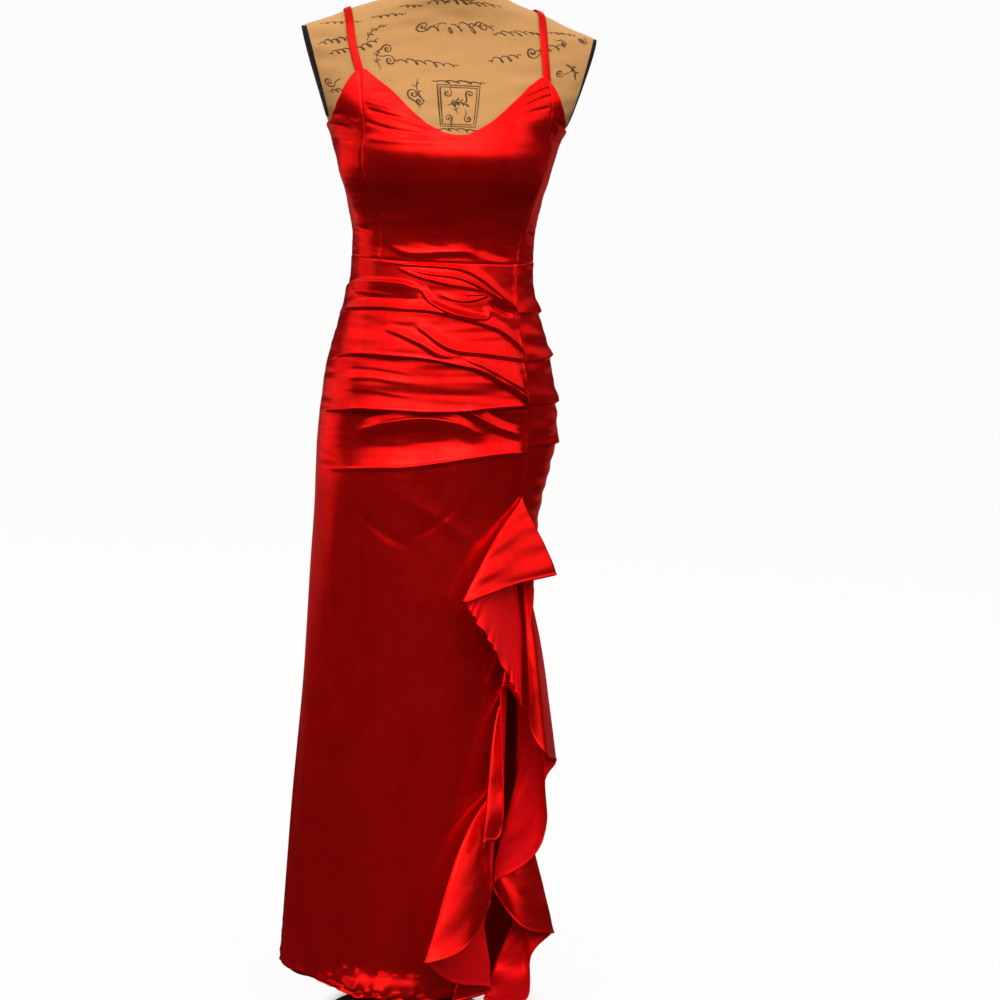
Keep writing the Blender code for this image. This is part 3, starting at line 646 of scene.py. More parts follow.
# How many waves of noise there are in a metre, across the cloth and up it
THREAD_WAVES, SLUB_WAVES = (2400.0, 130.0), (420.0, 16.0)
CLOUD_WAVES, CRUMPLE_WAVES = (26.0, 17.0), (60.0, 150.0)
THREAD_HALF, STITCH_LENGTH, STITCH_SHARE = 0.00028, 0.0026, 0.72    # of the sewing thread and its stitches


def satin_threads():
    """Threads, slubs, clouds and crumples, as a shade, a gloss and a height."""
    tree, enter, leave = new_group("satin_threads", {"Cloth": "Vector"},
                                   {"Shade": "Float", "Gloss": "Float", "Height": "Float"})
    cloth = enter.outputs["Cloth"]
    threads = noise(tree, cloth, THREAD_WAVES, 1.0)
    slubs = noise(tree, cloth, SLUB_WAVES, 2.0)
    clouds = noise(tree, cloth, CLOUD_WAVES, 4.0, 0.6)
    crumple = noise(tree, cloth, CRUMPLE_WAVES, 3.0, 0.55)
    tree.links.new(blend(tree, (clouds, 0.7), (slubs, 0.3)), leave.inputs["Shade"])
    tree.links.new(blend(tree, (clouds, 0.6), (threads, 0.4)), leave.inputs["Gloss"])
    tree.links.new(blend(tree, (threads, 0.22), (slubs, 0.33), (crumple, 0.45)), leave.inputs["Height"])
    return tree


def stitch_row():
    """1 on the stitches of a row at an inset from the edge, and 0 elsewhere."""
    tree, enter, leave = new_group("stitch_row", {"Distance": "Float", "Along": "Float", "Inset": "Float"},
                                   {"Stitch": "Float"})
    off = maths(tree, "SUBTRACT", enter.outputs["Distance"], enter.outputs["Inset"])
    on_row = maths(tree, "LESS_THAN", maths(tree, "ABSOLUTE", off), THREAD_HALF)
    beat = maths(tree, "FRACT", maths(tree, "DIVIDE", enter.outputs["Along"], STITCH_LENGTH))
    in_beat = maths(tree, "LESS_THAN", beat, STITCH_SHARE)
    tree.links.new(maths(tree, "MULTIPLY", on_row, in_beat), leave.inputs["Stitch"])
    return tree


weave, stitching = satin_threads(), stitch_row()
print("groups:", weave.name, stitching.name)

# %% [markdown]
# ## Three satins
# The right side is the smoothest. The wrong side shows where a flounce falls open, and is redder and duller.
# The straps are a rougher copy of the right side, and their darker dye is painted shade that keeps them dim.
# All three share the groups above.

# %% Satin finishes
STITCH_INSET = 0.012                # from the edge to the row of stitches
STITCH_SHADE = (0.45, 0.4, 0.4)     # of the sewing thread, as shares of the deep dye
CLOUD_RANGE = (0.32, 0.68)          # how much of the group's shade is used: its middle
GLOSS_SPREAD = 0.08
SHEEN_TINT = (1.0, 0.06, 0.03, 1.0)     # the mirror stays red even at a glancing angle


def satin(name, deep, bright, roughness, metallic, bump):
    """Red satin between a deep and a bright dye, with a roughness that varies a little either way."""
    made, tree = with_tree(bpy.data.materials.new(name))
    uv = node(tree, "UVMap", {"uv_map": "cloth"})
    thread = placed(tree, weave, Cloth=uv.outputs["UV"])
    edge = node(tree, "Attribute", {"attribute_name": "to_edge"})
    parts = node(tree, "SeparateXYZ", Vector=uv.outputs["UV"])
    along = maths(tree, "ADD", parts.outputs["X"], parts.outputs["Y"])
    stitch = placed(tree, stitching, Distance=edge.outputs["Fac"], Along=along, Inset=STITCH_INSET).outputs[0]
    colour = mixed(tree, ranged(tree, thread.outputs["Shade"], CLOUD_RANGE), deep, bright)
    thread_dye = [dye * share for dye, share in zip(deep, STITCH_SHADE)]
    sewn = mixed(tree, maths(tree, "MULTIPLY", stitch, 0.6), colour, thread_dye)
    height = maths(tree, "ADD", thread.outputs["Height"], maths(tree, "MULTIPLY", stitch, 0.8))
    raised = node(tree, "Bump", Height=height, Strength=bump, Distance=0.0004)
    gloss = mapped_range(tree, thread.outputs["Gloss"], roughness - GLOSS_SPREAD, roughness + GLOSS_SPREAD)
    return principled(made, tree, bright, Base_Color=sewn, Roughness=gloss, Metallic=metallic,
                      Normal=raised.outputs[0], Specular_Tint=SHEEN_TINT)


# deep dye, bright dye, roughness, metallic, bump
right_side = satin("satin_right_side", (0.68, 0.0030, 0.0050), (0.80, 0.0090, 0.0060), 0.27, 0.80, 0.22)
wrong_side = satin("satin_wrong_side", (0.84, 0.0030, 0.0070), (0.92, 0.0050, 0.0090), 0.46, 0.40, 0.30)
# the straps: the right side with a darker dye, which is painted shade
strap_satin_painted_darker = satin("satin_strap", (0.46, 0.0030, 0.0040), (0.56, 0.0080, 0.0050), 0.40, 0.70, 0.22)
SATIN = (right_side, wrong_side)
print("finishes:", [finish.name for finish in SATIN])

# %% [markdown]
# ## The skirt front
# The front panel is cut longer than the side panel it is sewn to, and the extra length is pleated into their
# seam, so the folds crowd together there and run out towards the wearer's right. Each row below is one fold:
# how far it stands out, its reach above and below the lip, how much of it each tail takes to fade, and its
# path. A negative rise is a soft hollow. Rows of points lie 0.9 mm apart where the folds are. At its foot the
# free front kicks out and crinkles beside the flounce.

# %% Skirt front
SLIT_FRONT = np.array([
    (0.060, 31.0), (0.200, 34.0), (0.350, 39.0), (0.500, 43.5), (0.650, 46.5), (0.782, 47.6),
    (0.840, 46.0), (0.905, 45.3), (0.970, 45.6), (1.037, 47.6), (1.093, 49.8),
])
SLIT_SIDE = np.array([
    (0.000, 61.2), (0.060, 61.0), (0.250, 60.0), (0.400, 59.0), (0.500, 57.5), (0.630, 54.5), (0.720, 51.0),
    (0.782, 47.6),
])
LOWEST_LIP = ((-66, 0.806), (-48, 0.811), (-29.3, 0.817), (-15.5, 0.8206), (1.7, 0.829), (19, 0.8376),
              (33.4, 0.8417), (46.5, 0.8405))
FRONT_FOLDS = (
    # close under the waist: three folds that fan out of the slit's seam, and a leaf and a hook between them
    (0.004, 0.012, 0.0024, (0.3, 0.04), ((-42, 1.0905), (-25, 1.0884), (-6.5, 1.0882), (9, 1.085),
        (20, 1.0745), (32, 1.0562), (47, 1.0306))),
    (0.0036, 0.009, 0.0022, (0.25, 0.04), ((-27, 1.085), (-13, 1.078), (3.7, 1.075), (14.7, 1.0685),
        (26.3, 1.0561), (38.4, 1.0421), (47, 1.033))),
    (0.004, 0.01, 0.0024, (0.25, 0.3), ((-34, 1.0855), (-20, 1.0751), (-8.5, 1.0695), (3.8, 1.0645),
        (15.8, 1.0607), (25, 1.0537))),
    (0.003, 0.006, 0.0022, (0.35, 0.2), ((-9.5, 1.0574), (3.3, 1.046), (13.5, 1.0444), (22, 1.0488),
        (24.5, 1.0515), (20, 1.053), (11, 1.0535))),
    (0.0046, 0.009, 0.0028, (0.2, 0.15), ((-16, 1.058), (-13.8, 1.0534), (-9.9, 1.0421), (-1.1, 1.0313),
        (9, 1.0238), (19.4, 1.0207), (24.4, 1.0232), (25.4, 1.03), (23, 1.038))),
    (-0.005, 0.009, 0.007, (0.35, 0.3), ((25.4, 1.044), (31, 1.037), (38, 1.031), (44, 1.0265))),
    # the roll below the hollow of the waist, whose lower edge is the first long fold
    (0.0048, 0.006, 0.026, (0.22, 0.3), ((-106, 1.04), (-79, 1.0554), (-52, 1.0629), (-29, 1.0634),
        (-20, 1.059), (-14, 1.054))),
    (0.001, 0.005, 0.006, (0.4, 0.5), ((-78, 1.047), (-62, 1.048), (-40, 1.047), (-22, 1.045))),
    (0.0068, 0.014, 0.003, (0.22, 0.03), ((-106, 1.006), (-81, 1.02), (-65, 1.025), (-41, 1.03),
        (-22.7, 1.03), (-9.5, 1.03), (4, 1.0246), (15, 1.0182), (29.7, 1.0069), (38, 0.9927), (46, 0.976))),
    # the first pillow, with two creases that cross it and a second fold beneath them
    (0.0034, 0.01, 0.006, (0.5, 0.3), ((-36, 1.006), (-32, 1.0021), (-20.7, 0.9945), (-10, 0.9839),
        (-2.4, 0.9727), (6, 0.97))),
    (0.0054, 0.013, 0.005, (0.25, 0.04), ((-18, 1.013), (-10.7, 1.0022), (-0.4, 0.9848), (8.7, 0.978),
        (18, 0.9761), (30, 0.972), (46, 0.9664))),
    (0.0118, 0.064, 0.0032, (0.3, 0.03), ((-82, 0.953), (-60, 0.9636), (-41, 0.9674), (-19, 0.9681),
        (-4, 0.9652), (8.7, 0.9591), (17.8, 0.9528), (27.3, 0.9383), (37.6, 0.9211), (46.5, 0.901))),
    (0.0034, 0.009, 0.0026, (0.25, 0.05), ((7.8, 0.9709), (17.9, 0.9595), (27.4, 0.9454), (37.7, 0.9286),
        (46.5, 0.909))),
    # the second pillow, with three faint streaks towards the wearer's right
    (0.0006, 0.012, 0.0045, (0.3, 0.45), ((-66, 0.946), (-44, 0.95), (-25, 0.948), (-8, 0.942))),
    (0.0009, 0.012, 0.005, (0.3, 0.45), ((-66, 0.931), (-51, 0.9337), (-36, 0.9368), (-21.7, 0.9345),
        (-8.7, 0.9337))),
    (0.0006, 0.012, 0.0045, (0.4, 0.5), ((-66, 0.916), (-40, 0.92), (-22, 0.917), (-10, 0.915))),
    (0.0138, 0.076, 0.0032, (0.3, 0.02), ((-82, 0.883), (-55.6, 0.8894), (-41.7, 0.8948), (-26.4, 0.8965),
        (-8, 0.897), (5.8, 0.8982), (17.9, 0.9022), (32, 0.9047), (46.5, 0.9052))),
    # the third pillow, which has an almond-shaped hollow in it and a dark wedge near the slit
    (0.0046, 0.012, 0.02, (0.3, 0.3), ((-46, 0.862), (-40.1, 0.867), (-25.8, 0.8793), (-8.5, 0.8865),
        (7.9, 0.881), (16.1, 0.8697), (24, 0.864))),
    (0.0052, 0.012, 0.01, (0.3, 0.3), ((8, 0.899), (13.5, 0.8953), (20, 0.886), (27.5, 0.8758),
        (37.1, 0.868), (42, 0.865))),
    (0.005, 0.03, 0.1, (0.3, 0.1), LOWEST_LIP),
    (0.004, 0.028, 0.0046, (0.35, 0.02), LOWEST_LIP),
    # drag lines below the hip
    (-0.0012, 0.01, 0.01, (0.4, 0.5), ((-52, 0.78), (-38, 0.75), (-18.6, 0.7198), (-10, 0.715))),
    (-0.0009, 0.008, 0.008, (0.5, 0.4), ((-18.6, 0.7198), (-8, 0.733), (4, 0.756), (14, 0.79))),
    (0.0012, 0.018, 0.018, (0.5, 0.5), ((-30, 0.795), (-10, 0.77), (12, 0.735), (34, 0.7))),
    (0.001, 0.014, 0.014, (0.5, 0.5), ((44, 0.79), (30, 0.73), (20, 0.67), (12, 0.6))),
)
FRONT_EDGE_FADE = 1.0               # degrees over which a fold flattens into the slit's seam
PINCHED, PINCH_REACH = 0.30, 8.0    # how much of a fold is left at the seam, and from how many degrees on
EDGE_ROLL, EDGE_ROLL_AT, EDGE_ROLL_REACH = 0.0015, 0.9, 0.6     # the pleated edge stands proud beside it
HIP_LINE, HIP_REACH = 0.95, 0.11    # where the cloth is ruched
HEM_KICK, KICK_TOP, KICK_FADE = 0.0105, 0.126, 0.030
KICK_TURN, KICK_REACH = -20.0, 20.0
# Unrest of the cloth: its rise, the length of its waves, how far they are drawn out, and a seed
HIP_UNREST = ((0.00022, 0.016, 4.0, 11), (0.00045, 0.040, 3.0, 12))
FRONT_DRAG = ((0.0007, 0.075, 1.4, 13),)
HEM_PULL = ((0.0007, 0.020, 0.7, 14),)
KICK_EDGE = ((0.010, 0.030, 1.0, 15),)
KICK_CRINKLE = ((0.35, 0.006, 1.6, 16),)
# Soft flutes of the free skirt: turn, half width in turn, depth at the hem, height at which it dies away.
FLUTES = (
    (-70.0, 9.0, 0.004, 0.70), (-48.0, 10.0, -0.003, 0.62), (-22.0, 11.0, 0.003, 0.55),
    (120.0, 12.0, 0.006, 0.72), (146.0, 11.0, -0.005, 0.66), (172.0, 12.0, 0.007, 0.74),
    (198.0, 11.0, -0.005, 0.66), (224.0, 12.0, 0.006, 0.72), (248.0, 10.0, -0.004, 0.60),
)


def slit_front(height):
    """Turn of the front's edge at the slit."""
    return table(SLIT_FRONT, 1, height)


def slit_side(height):
    """Turn of the side panel's edge: the front's own above the slit's top."""
    return np.where(height > SLIT_TOP, slit_front(height), table(SLIT_SIDE, 1, height))


def fluting(turn, height):
    """Rise of the free skirt's soft flutes: bells across, growing towards the hem."""
    rise = 0 * height
    for centre, reach, depth, top in FLUTES:
        off = wrapped(turn - centre) / reach
        rise = rise + depth * bell(off) * fade((top - height) / (top - HEM))
    return rise


def unrest(rows, across, up, share=1.0):
    """The sum of a table of ripples, times a share."""
    return sum(rise * ripples(across, up, *row) * share for rise, *row in rows)


def front_rise(turn, height):
    """Folds that die at the waist seam and flatten only in the last of the way to the slit's seam, then the
    flutes, the kick of the hem, and unrest that is finest between the folds."""
    across = turn * METRES_PER_DEGREE
    from_side, from_slit = turn + SIDE_SEAM, slit_front(height) - turn
    at_seams = fade((from_slit + 0.2) / FRONT_EDGE_FADE) * fade(from_side / 5)
    at_seams = at_seams * (PINCHED + (1 - PINCHED) * fade(from_slit / PINCH_REACH))
    pleated = folds(FRONT_FOLDS, turn, height) * at_seams * fade((WAIST - height) / 0.007)
    edge_roll = EDGE_ROLL * bell((from_slit - EDGE_ROLL_AT) / EDGE_ROLL_REACH)
    pleated = pleated + edge_roll * fade((height - SLIT_TOP) / 0.05)
    hips = bell((height - HIP_LINE) / HIP_REACH)
    restless = unrest(HIP_UNREST, across, height, hips) + unrest(FRONT_DRAG, height * 0.35, across, 1 - hips)
    restless = restless + unrest(HEM_PULL, across, height, bell((height - HEM) / 0.05))
    below = fade((KICK_TOP + unrest(KICK_EDGE, across, 0 * height) - height) / KICK_FADE)
    kick = HEM_KICK * below * bell((turn - KICK_TURN) / KICK_REACH)
    kick = kick * (1 + unrest(KICK_CRINKLE, across, height))
    return pleated + restless * fade(from_side / 6) + fluting(turn, height) * fade(from_side / 12) + kick


EDGE_ROWS = np.array([0.0, 0.0004, 0.0010, 0.0020, 0.0035])     # distances of the rows next to an edge


def level_steps(low, high, *bands):
    """Fractions of the way from low to high for bands of (top, spacing), with closer rows at both edges.
    There is an odd number of them."""
    heights = [low + EDGE_ROWS]
    start = low + 0.006
    for top, spacing in bands:
        heights.append(np.arange(start, top, spacing))
        start = top
    heights = np.unique(np.concatenate(heights + [high - EDGE_ROWS[::-1]]))
    heights = heights[np.concatenate([[True], np.diff(heights) > 0.0002])]
    if len(heights) % 2 == 0:
        heights = np.insert(heights, 6, (heights[5] + heights[6]) / 2)
    return (heights - low) / (high - low)


SKIRT_TOP = WAIST - GAP / 2
EDGE_STEPS = (0.0012, 0.003, 0.006)
front_levels = level_steps(HEM, SKIRT_TOP, (0.66, 0.0090), (0.80, 0.0034), (SKIRT_TOP - 0.004, 0.00088))
satin_front = panel("satin_skirt_front", front_rise, constant(-SIDE_SEAM), slit_front, HEM,
                    constant(SKIRT_TOP), fractions(157, EDGE_STEPS), front_levels, SATIN, seams=(1, 1, 0, 1))

# %% [markdown]
# ## The skirt's side and back
# The side panel lies flat, and each pleat of the front runs on into it as one narrow tuck that ends in a
# small point at the side. The back hangs in soft flutes, with a few shallow folds that start in the side
# seams, where the pleats and tucks pull on it. Its hem curves down to a short sweep.

# %% Skirt side and back
TUCKS = ((1.029, 1.025), (0.965, 0.968), (0.9065, 0.904), (0.850, 0.848))  # height at the seam, at the side
TUCK_RISE, TUCK_ABOVE, TUCK_BELOW, TUCK_POWER = 0.0050, 0.026, 0.0034, 1.5
SIDE_UNREST = ((0.0005, 0.030, 1.5, 21),)
SIDE_DRAG = ((0.0008, 0.06, 1.3, 22),)


def side_rise(turn, height):
    """Tucks with the folds' own profile, low at the slit's seam and highest just before the side."""
    start = slit_side(height)
    t = (turn - start) / (SIDE_SEAM - start)
    rise = 0 * height
    for at_seam, at_side in TUCKS:
        off = height - (at_seam + (at_side - at_seam) * t)
        slope = np.clip(1 - off / TUCK_ABOVE, 0, 1) ** TUCK_POWER
        rise = rise + TUCK_RISE * np.where(off > 0, slope, fade(1 + off / TUCK_BELOW))
    grows = 0.26 + 0.74 * fade((t - 0.15) / 0.6)
    across = turn * METRES_PER_DEGREE
    drag = unrest(SIDE_DRAG, height * 0.4, across, fade((0.8 - height) / 0.2))
    dies = fade(t / 0.03) * fade((1 - t) / 0.08) * fade((WAIST - height) / 0.010)
    restless = unrest(SIDE_UNREST, across, height) + drag
    return rise * grows * dies + restless * fade(t / 0.1) * fade((1 - t) / 0.1)


BACK_FOLDS = (
    (0.003, 0.016, 0.005, (0.4, 0.55), ((263, 1.012), (245, 1.006), (226, 1.002), (205, 1.005))),
    (0.0034, 0.022, 0.005, (0.4, 0.55), ((263, 0.954), (243, 0.95), (222, 0.95), (200, 0.956))),
    (0.003, 0.022, 0.005, (0.4, 0.55), ((263, 0.88), (244, 0.878), (224, 0.88), (198, 0.888))),
    (-0.0018, 0.014, 0.014, (0.1, 0.6), ((262, 1.045), (240, 1.04), (215, 1.043))),
    (0.0026, 0.012, 0.0036, (0.6, 0.06), ((140, 1.04), (122, 1.032), (97, 1.025))),
    (0.0032, 0.014, 0.0036, (0.6, 0.06), ((146, 0.982), (124, 0.973), (97, 0.968))),
    (0.0032, 0.014, 0.0036, (0.6, 0.06), ((142, 0.917), (122, 0.909), (97, 0.904))),
    (0.003, 0.014, 0.0036, (0.6, 0.06), ((138, 0.861), (120, 0.853), (97, 0.848))),
    (-0.0016, 0.02, 0.02, (0.5, 0.5), ((150, 1.07), (180, 1.056), (212, 1.07))),
    (0.0014, 0.014, 0.012, (0.5, 0.5), ((156, 0.83), (180, 0.818), (206, 0.832))),
)
BACK_UNREST = ((0.0006, 0.045, 2.5, 31), (0.0003, 0.017, 3.0, 32))
BACK_DRAG = ((0.0009, 0.075, 1.4, 33),)
BACK_SWEEP = 0.0915     # how much longer the back is at its middle


def back_rise(turn, height):
    """Shallow folds out of both side seams, flutes below, and slow unrest."""
    across = turn * METRES_PER_DEGREE
    from_left, from_right = turn - SIDE_SEAM, 360 - SIDE_SEAM - turn
    at_seams = fade(from_left / 3) * fade(from_right / 3)
    pulled = folds(BACK_FOLDS, turn, height) * at_seams * fade((WAIST - height) / 0.010)
    restless = unrest(BACK_UNREST, across, height) + unrest(BACK_DRAG, height * 0.35, across)
    flutes = fluting(turn, height) * fade(from_left / 12) * fade(from_right / 12)
    return pulled + restless * at_seams + flutes


def back_hem(across):
    """Height of the hem at a fraction of the way from seam to seam: a sine below the front's hem."""
    return HEM - BACK_SWEEP * np.sin(np.pi * across)


side_levels = level_steps(HEM, SKIRT_TOP, (0.72, 0.0085), (SKIRT_TOP - 0.004, 0.0012))
satin_side = panel("satin_skirt_side", side_rise, slit_side, constant(SIDE_SEAM), HEM, constant(SKIRT_TOP),
                   fractions(45, (0.012, 0.03)), side_levels, SATIN, seams=(1, 1, 0, 1))
back_levels = level_steps(HEM, SKIRT_TOP, (0.80, 0.0080), (SKIRT_TOP - 0.004, 0.0021))
satin_back = panel("satin_skirt_back", back_rise, constant(SIDE_SEAM), constant(360 - SIDE_SEAM), back_hem,
                   constant(SKIRT_TOP), fractions(141, EDGE_STEPS), back_levels, SATIN, seams=(1, 1, 0, 1))

# %% [markdown]
# ## The bodice
# Five pieces meet in two princess seams over the bust and two side seams. The cloth over the bust is pulled
# up by the straps, so short creases run from the princess seams towards the neck and under the arms. The
# upper edges are turned, not stitched through.

# %% Bodice
# height, turn of the seam on the wearer's right, and on their left
PRINCESS = np.array([
    (1.080, -46.0, 50.0), (1.105, -46.0, 51.0), (1.150, -47.0, 56.5), (1.200, -49.5, 57.5),
    (1.235, -49.5, 56.5), (1.265, -45.8, 53.0), (1.300, -39.5, 45.0), (1.345, -34.6, 36.2),
])
# turn and height of points along the upper edges, the second from a strap to the side seam
NECK = np.array([
    (-34.8, 1.3420), (-32.9, 1.3416), (-24.7, 1.3182), (-17.3, 1.2898), (-12.4, 1.2750),
    (-5.0, 1.2640), (0.5, 1.2612), (6.0, 1.2622), (11.0, 1.2690), (16.7, 1.2800),
    (23.3, 1.3030), (29.6, 1.3290), (34.0, 1.3416), (36.4, 1.3420),
])
ARMHOLE = np.array([
    (34.8, 1.3420), (37.2, 1.3400), (42.0, 1.3280), (49.5, 1.3075), (58.4, 1.2890), (70.0, 1.2740),
    (SIDE_SEAM, SIDE_TOP),
])
# folds and creases as in the skirt
BODICE_FOLDS = (
    (-0.0016, 0.005, 0.005, (0.05, 0.45), ((-39, 1.289), (-30.3, 1.284), (-21.5, 1.2773), (-12.6, 1.2707),
        (-6.1, 1.2663))),
    (-0.0014, 0.0045, 0.0045, (0.05, 0.45), ((-43, 1.2735), (-32, 1.2657), (-18.9, 1.2608), (-6.2, 1.259))),
    (0.0008, 0.006, 0.006, (0.1, 0.5), ((-38, 1.301), (-29, 1.295), (-22, 1.288))),
    (0.001, 0.006, 0.006, (0.1, 0.5), ((-46, 1.253), (-30, 1.25), (-12, 1.25), (4, 1.252))),
    (-0.0016, 0.0045, 0.0045, (0.4, 0.1), ((-70, 1.281), (-60, 1.2815), (-54, 1.2812), (-45.4, 1.2746))),
    (-0.0015, 0.0045, 0.0045, (0.3, 0.2), ((-80, 1.269), (-66, 1.2665), (-59.9, 1.2655), (-48.4, 1.2613))),
    (-0.0012, 0.005, 0.005, (0.3, 0.2), ((-84, 1.252), (-68, 1.25), (-52, 1.248))),
    (-0.0015, 0.0036, 0.0036, (0.35, 0.1), ((24.9, 1.3047), (30.3, 1.315), (36.9, 1.325), (39.5, 1.329))),
    (-0.0014, 0.0036, 0.0036, (0.35, 0.1), ((26.8, 1.2956), (32.1, 1.306), (38.2, 1.3149), (42, 1.318))),
    (-0.0011, 0.0036, 0.0036, (0.35, 0.15), ((30, 1.29), (36, 1.297), (44, 1.303))),
    (-0.0014, 0.009, 0.009, (0.4, 0.4), ((20, 1.281), (26, 1.283), (32, 1.2812))),
    (-0.0015, 0.0045, 0.0045, (0.15, 0.4), ((52, 1.285), (62, 1.278), (76, 1.272))),
    (-0.0012, 0.0045, 0.0045, (0.15, 0.4), ((55, 1.268), (66, 1.262), (84, 1.259))),
    (0.0024, 0.03, 0.008, (0.3, 0.35), ((-46, 1.12), (-26, 1.1043), (-3.7, 1.1065), (12.2, 1.108),
        (20, 1.101))),
    (-0.0014, 0.012, 0.012, (0.4, 0.3), ((6, 1.118), (20, 1.112), (36, 1.104), (48, 1.099))),
    (-0.0012, 0.014, 0.014, (0.45, 0.45), ((-30, 1.206), (-8, 1.195), (14, 1.199), (32, 1.206))),
    (0.0012, 0.012, 0.012, (0.3, 0.5), ((56, 1.15), (40, 1.156), (22, 1.158))),
    (-0.001, 0.01, 0.01, (0.3, 0.5), ((-47, 1.16), (-30, 1.156), (-12, 1.157))),
    (-0.001, 0.008, 0.008, (0.5, 0.2), ((-92, 1.14), (-74, 1.133), (-50, 1.13))),
    (-0.001, 0.008, 0.008, (0.2, 0.5), ((56, 1.142), (76, 1.136), (92, 1.14))),
    (-0.0016, 0.012, 0.012, (0.2, 0.6), ((100, 1.15), (124, 1.14), (160, 1.135))),
    (-0.0016, 0.012, 0.012, (0.6, 0.2), ((200, 1.135), (236, 1.14), (260, 1.15))),
    (0.0012, 0.01, 0.01, (0.2, 0.6), ((100, 1.19), (130, 1.18), (165, 1.178))),
    (0.0012, 0.01, 0.01, (0.6, 0.2), ((195, 1.178), (230, 1.18), (260, 1.19))),
    (-0.0012, 0.008, 0.008, (0.3, 0.6), ((110, 1.244), (140, 1.232), (172, 1.228))),
    (-0.0012, 0.008, 0.008, (0.6, 0.3), ((188, 1.228), (220, 1.232), (250, 1.244))),
)


def princess(side):
    """Turn of a princess seam as a function of the height."""
    return lambda height: table(PRINCESS, 1 if side < 0 else 2, height)


def neck_edge(across):
    """Height of the front's upper edge at a fraction of the way from seam to seam."""
    seams = princess(-1)(NECK[:, 1]), princess(1)(NECK[:, 1])
    ways = (NECK[:, 0] - seams[0]) / (seams[1] - seams[0])
    ways[0], ways[-1] = 0.0, 1.0
    return np.interp(across, ways, NECK[:, 1])


def armhole_edge(side):
    """The upper edge of a side front, as a function of a fraction of the way across it."""
    def edge(across):
        seam = np.abs(princess(side)(ARMHOLE[:, 1]))
        ways = np.clip((ARMHOLE[:, 0] - seam) / (SIDE_SEAM - seam), 0, 1)
        ways[0] = 0.0
        outward = 1 - across if side < 0 else across
        return np.interp(outward, ways, ARMHOLE[:, 1])
    return edge


BUST_FULLNESS, BUST_LOW, BUST_REACH = 0.0105, 1.208, 0.042   # the cloth stands off the form below the bust
FULL_FROM, FULL_TO = -88, 68        # turns between which it does so
BUST_LINE, BUST_TIGHT = 1.24, 0.03  # height where the bust stretches the cloth, and how far from it
BODICE_UNREST = ((0.00022, 0.034, 1.4, 41), (0.00008, 0.012, 1.6, 42))


def bodice_rise(turn, height):
    """Creases, the fullness below the cups, and unrest that is least where the bust stretches the cloth."""
    calm = 1 - 0.6 * bell((height - BUST_LINE) / BUST_TIGHT)
    restless = unrest(BODICE_UNREST, turn * METRES_PER_DEGREE, height)
    fullness = BUST_FULLNESS * bell((height - BUST_LOW) / BUST_REACH)
    fullness = fullness * fade((turn - FULL_FROM) / 20) * fade((FULL_TO - turn) / 14)
    return folds(BODICE_FOLDS, turn, height) + fullness + restless * calm


BODICE_FOOT = WAIST + GAP / 2
BODICE_LEVELS = fractions(141, (0.0016, 0.004, 0.008))
satin_centre = panel("satin_bodice_centre", bodice_rise, princess(-1), princess(1), BODICE_FOOT, neck_edge,
                     fractions(121, (0.002, 0.005, 0.010)), BODICE_LEVELS, SATIN, seams=(1, 1, 1, 0))
satin_side_r = panel("satin_bodice_side_r", bodice_rise, constant(-SIDE_SEAM), princess(-1), BODICE_FOOT,
                     armhole_edge(-1), 1 - fractions(71, (0.004, 0.010))[::-1] ** 1.25, BODICE_LEVELS, SATIN,
                     seams=(1, 1, 1, 0))
satin_side_l = panel("satin_bodice_side_l", bodice_rise, princess(1), constant(SIDE_SEAM), BODICE_FOOT,
                     armhole_edge(1), fractions(71, (0.004, 0.010)) ** 1.25, BODICE_LEVELS, SATIN,
                     seams=(1, 1, 1, 0))


def back_edge(across):
    """Height of the back's upper edge, which rises to the side seams with the square of the way there."""
    return BACK_TOP + (SIDE_TOP - BACK_TOP) * np.abs(2 * across - 1) ** 2


satin_bodice_back = panel("satin_bodice_back", bodice_rise, constant(SIDE_SEAM), constant(360 - SIDE_SEAM),
                          BODICE_FOOT, back_edge, fractions(131, (0.0015, 0.004, 0.008)),
                          fractions(91, (0.002, 0.005, 0.012)), SATIN, seams=(1, 1, 1, 0))

# %% [markdown]
# ## The straps
# Each strap is a narrow tube of satin, turned right side out and pressed flat. A strap follows the form from
# the bodice over the shoulder to the back. Its path is where a fan of straight lines from the form's middle
# leaves the form, and its cross-section is a flat oval carried along that path.

# %% Straps
# name: CAD node, x of its path in front, on the shoulder and behind
STRAPS = {"satin_strap_r": ("strap_r", -0.1190, -0.1370, -0.0950),
          "satin_strap_l": ("strap_l", 0.1268, 0.1200, 0.0950)}
STRAP_HALF, STRAP_THICK, STRAP_LIFT = 0.0053, 0.0019, 0.0016
STRAP_STEPS, STRAP_ROUND = 141, 20
STRAP_TUCKED = 0.014, 0.012     # how far it reaches down behind the upper edge, in front and at the back
SHOULDER_LEAN = 75.0            # lean of the direction that meets the top of the shoulder
FAN_HEIGHT = 1.30               # of the form's middle, where the directions start
HALVINGS = 40


def form_reach(x, lean, ease):
    """Where a line from the form's middle, leaning back by lean degrees from straight ahead, leaves its skin:
    the way is halved again and again."""
    middle = np.stack([x, 0 * x, FAN_HEIGHT + 0 * x], axis=-1)
    way = np.stack([0 * x, -np.cos(np.radians(lean)), np.sin(np.radians(lean))], axis=-1)
    near, far = 0 * x, 0 * x + 0.2
    for _ in range(HALVINGS):
        reach = (near + far) / 2
        point = middle + way * reach[..., None]
        left, _, front, back, bend = section(point[..., 2])
        wide, deep = left - ease, np.where(point[..., 1] < 0, front, back) - ease
        inside = (np.abs(point[..., 0]) / wide) ** 2 + (np.abs(point[..., 1]) / deep) ** (2 / bend) < 1
        near, far = np.where(inside, reach, near), np.where(inside, far, reach)
    return middle + way * near[..., None]


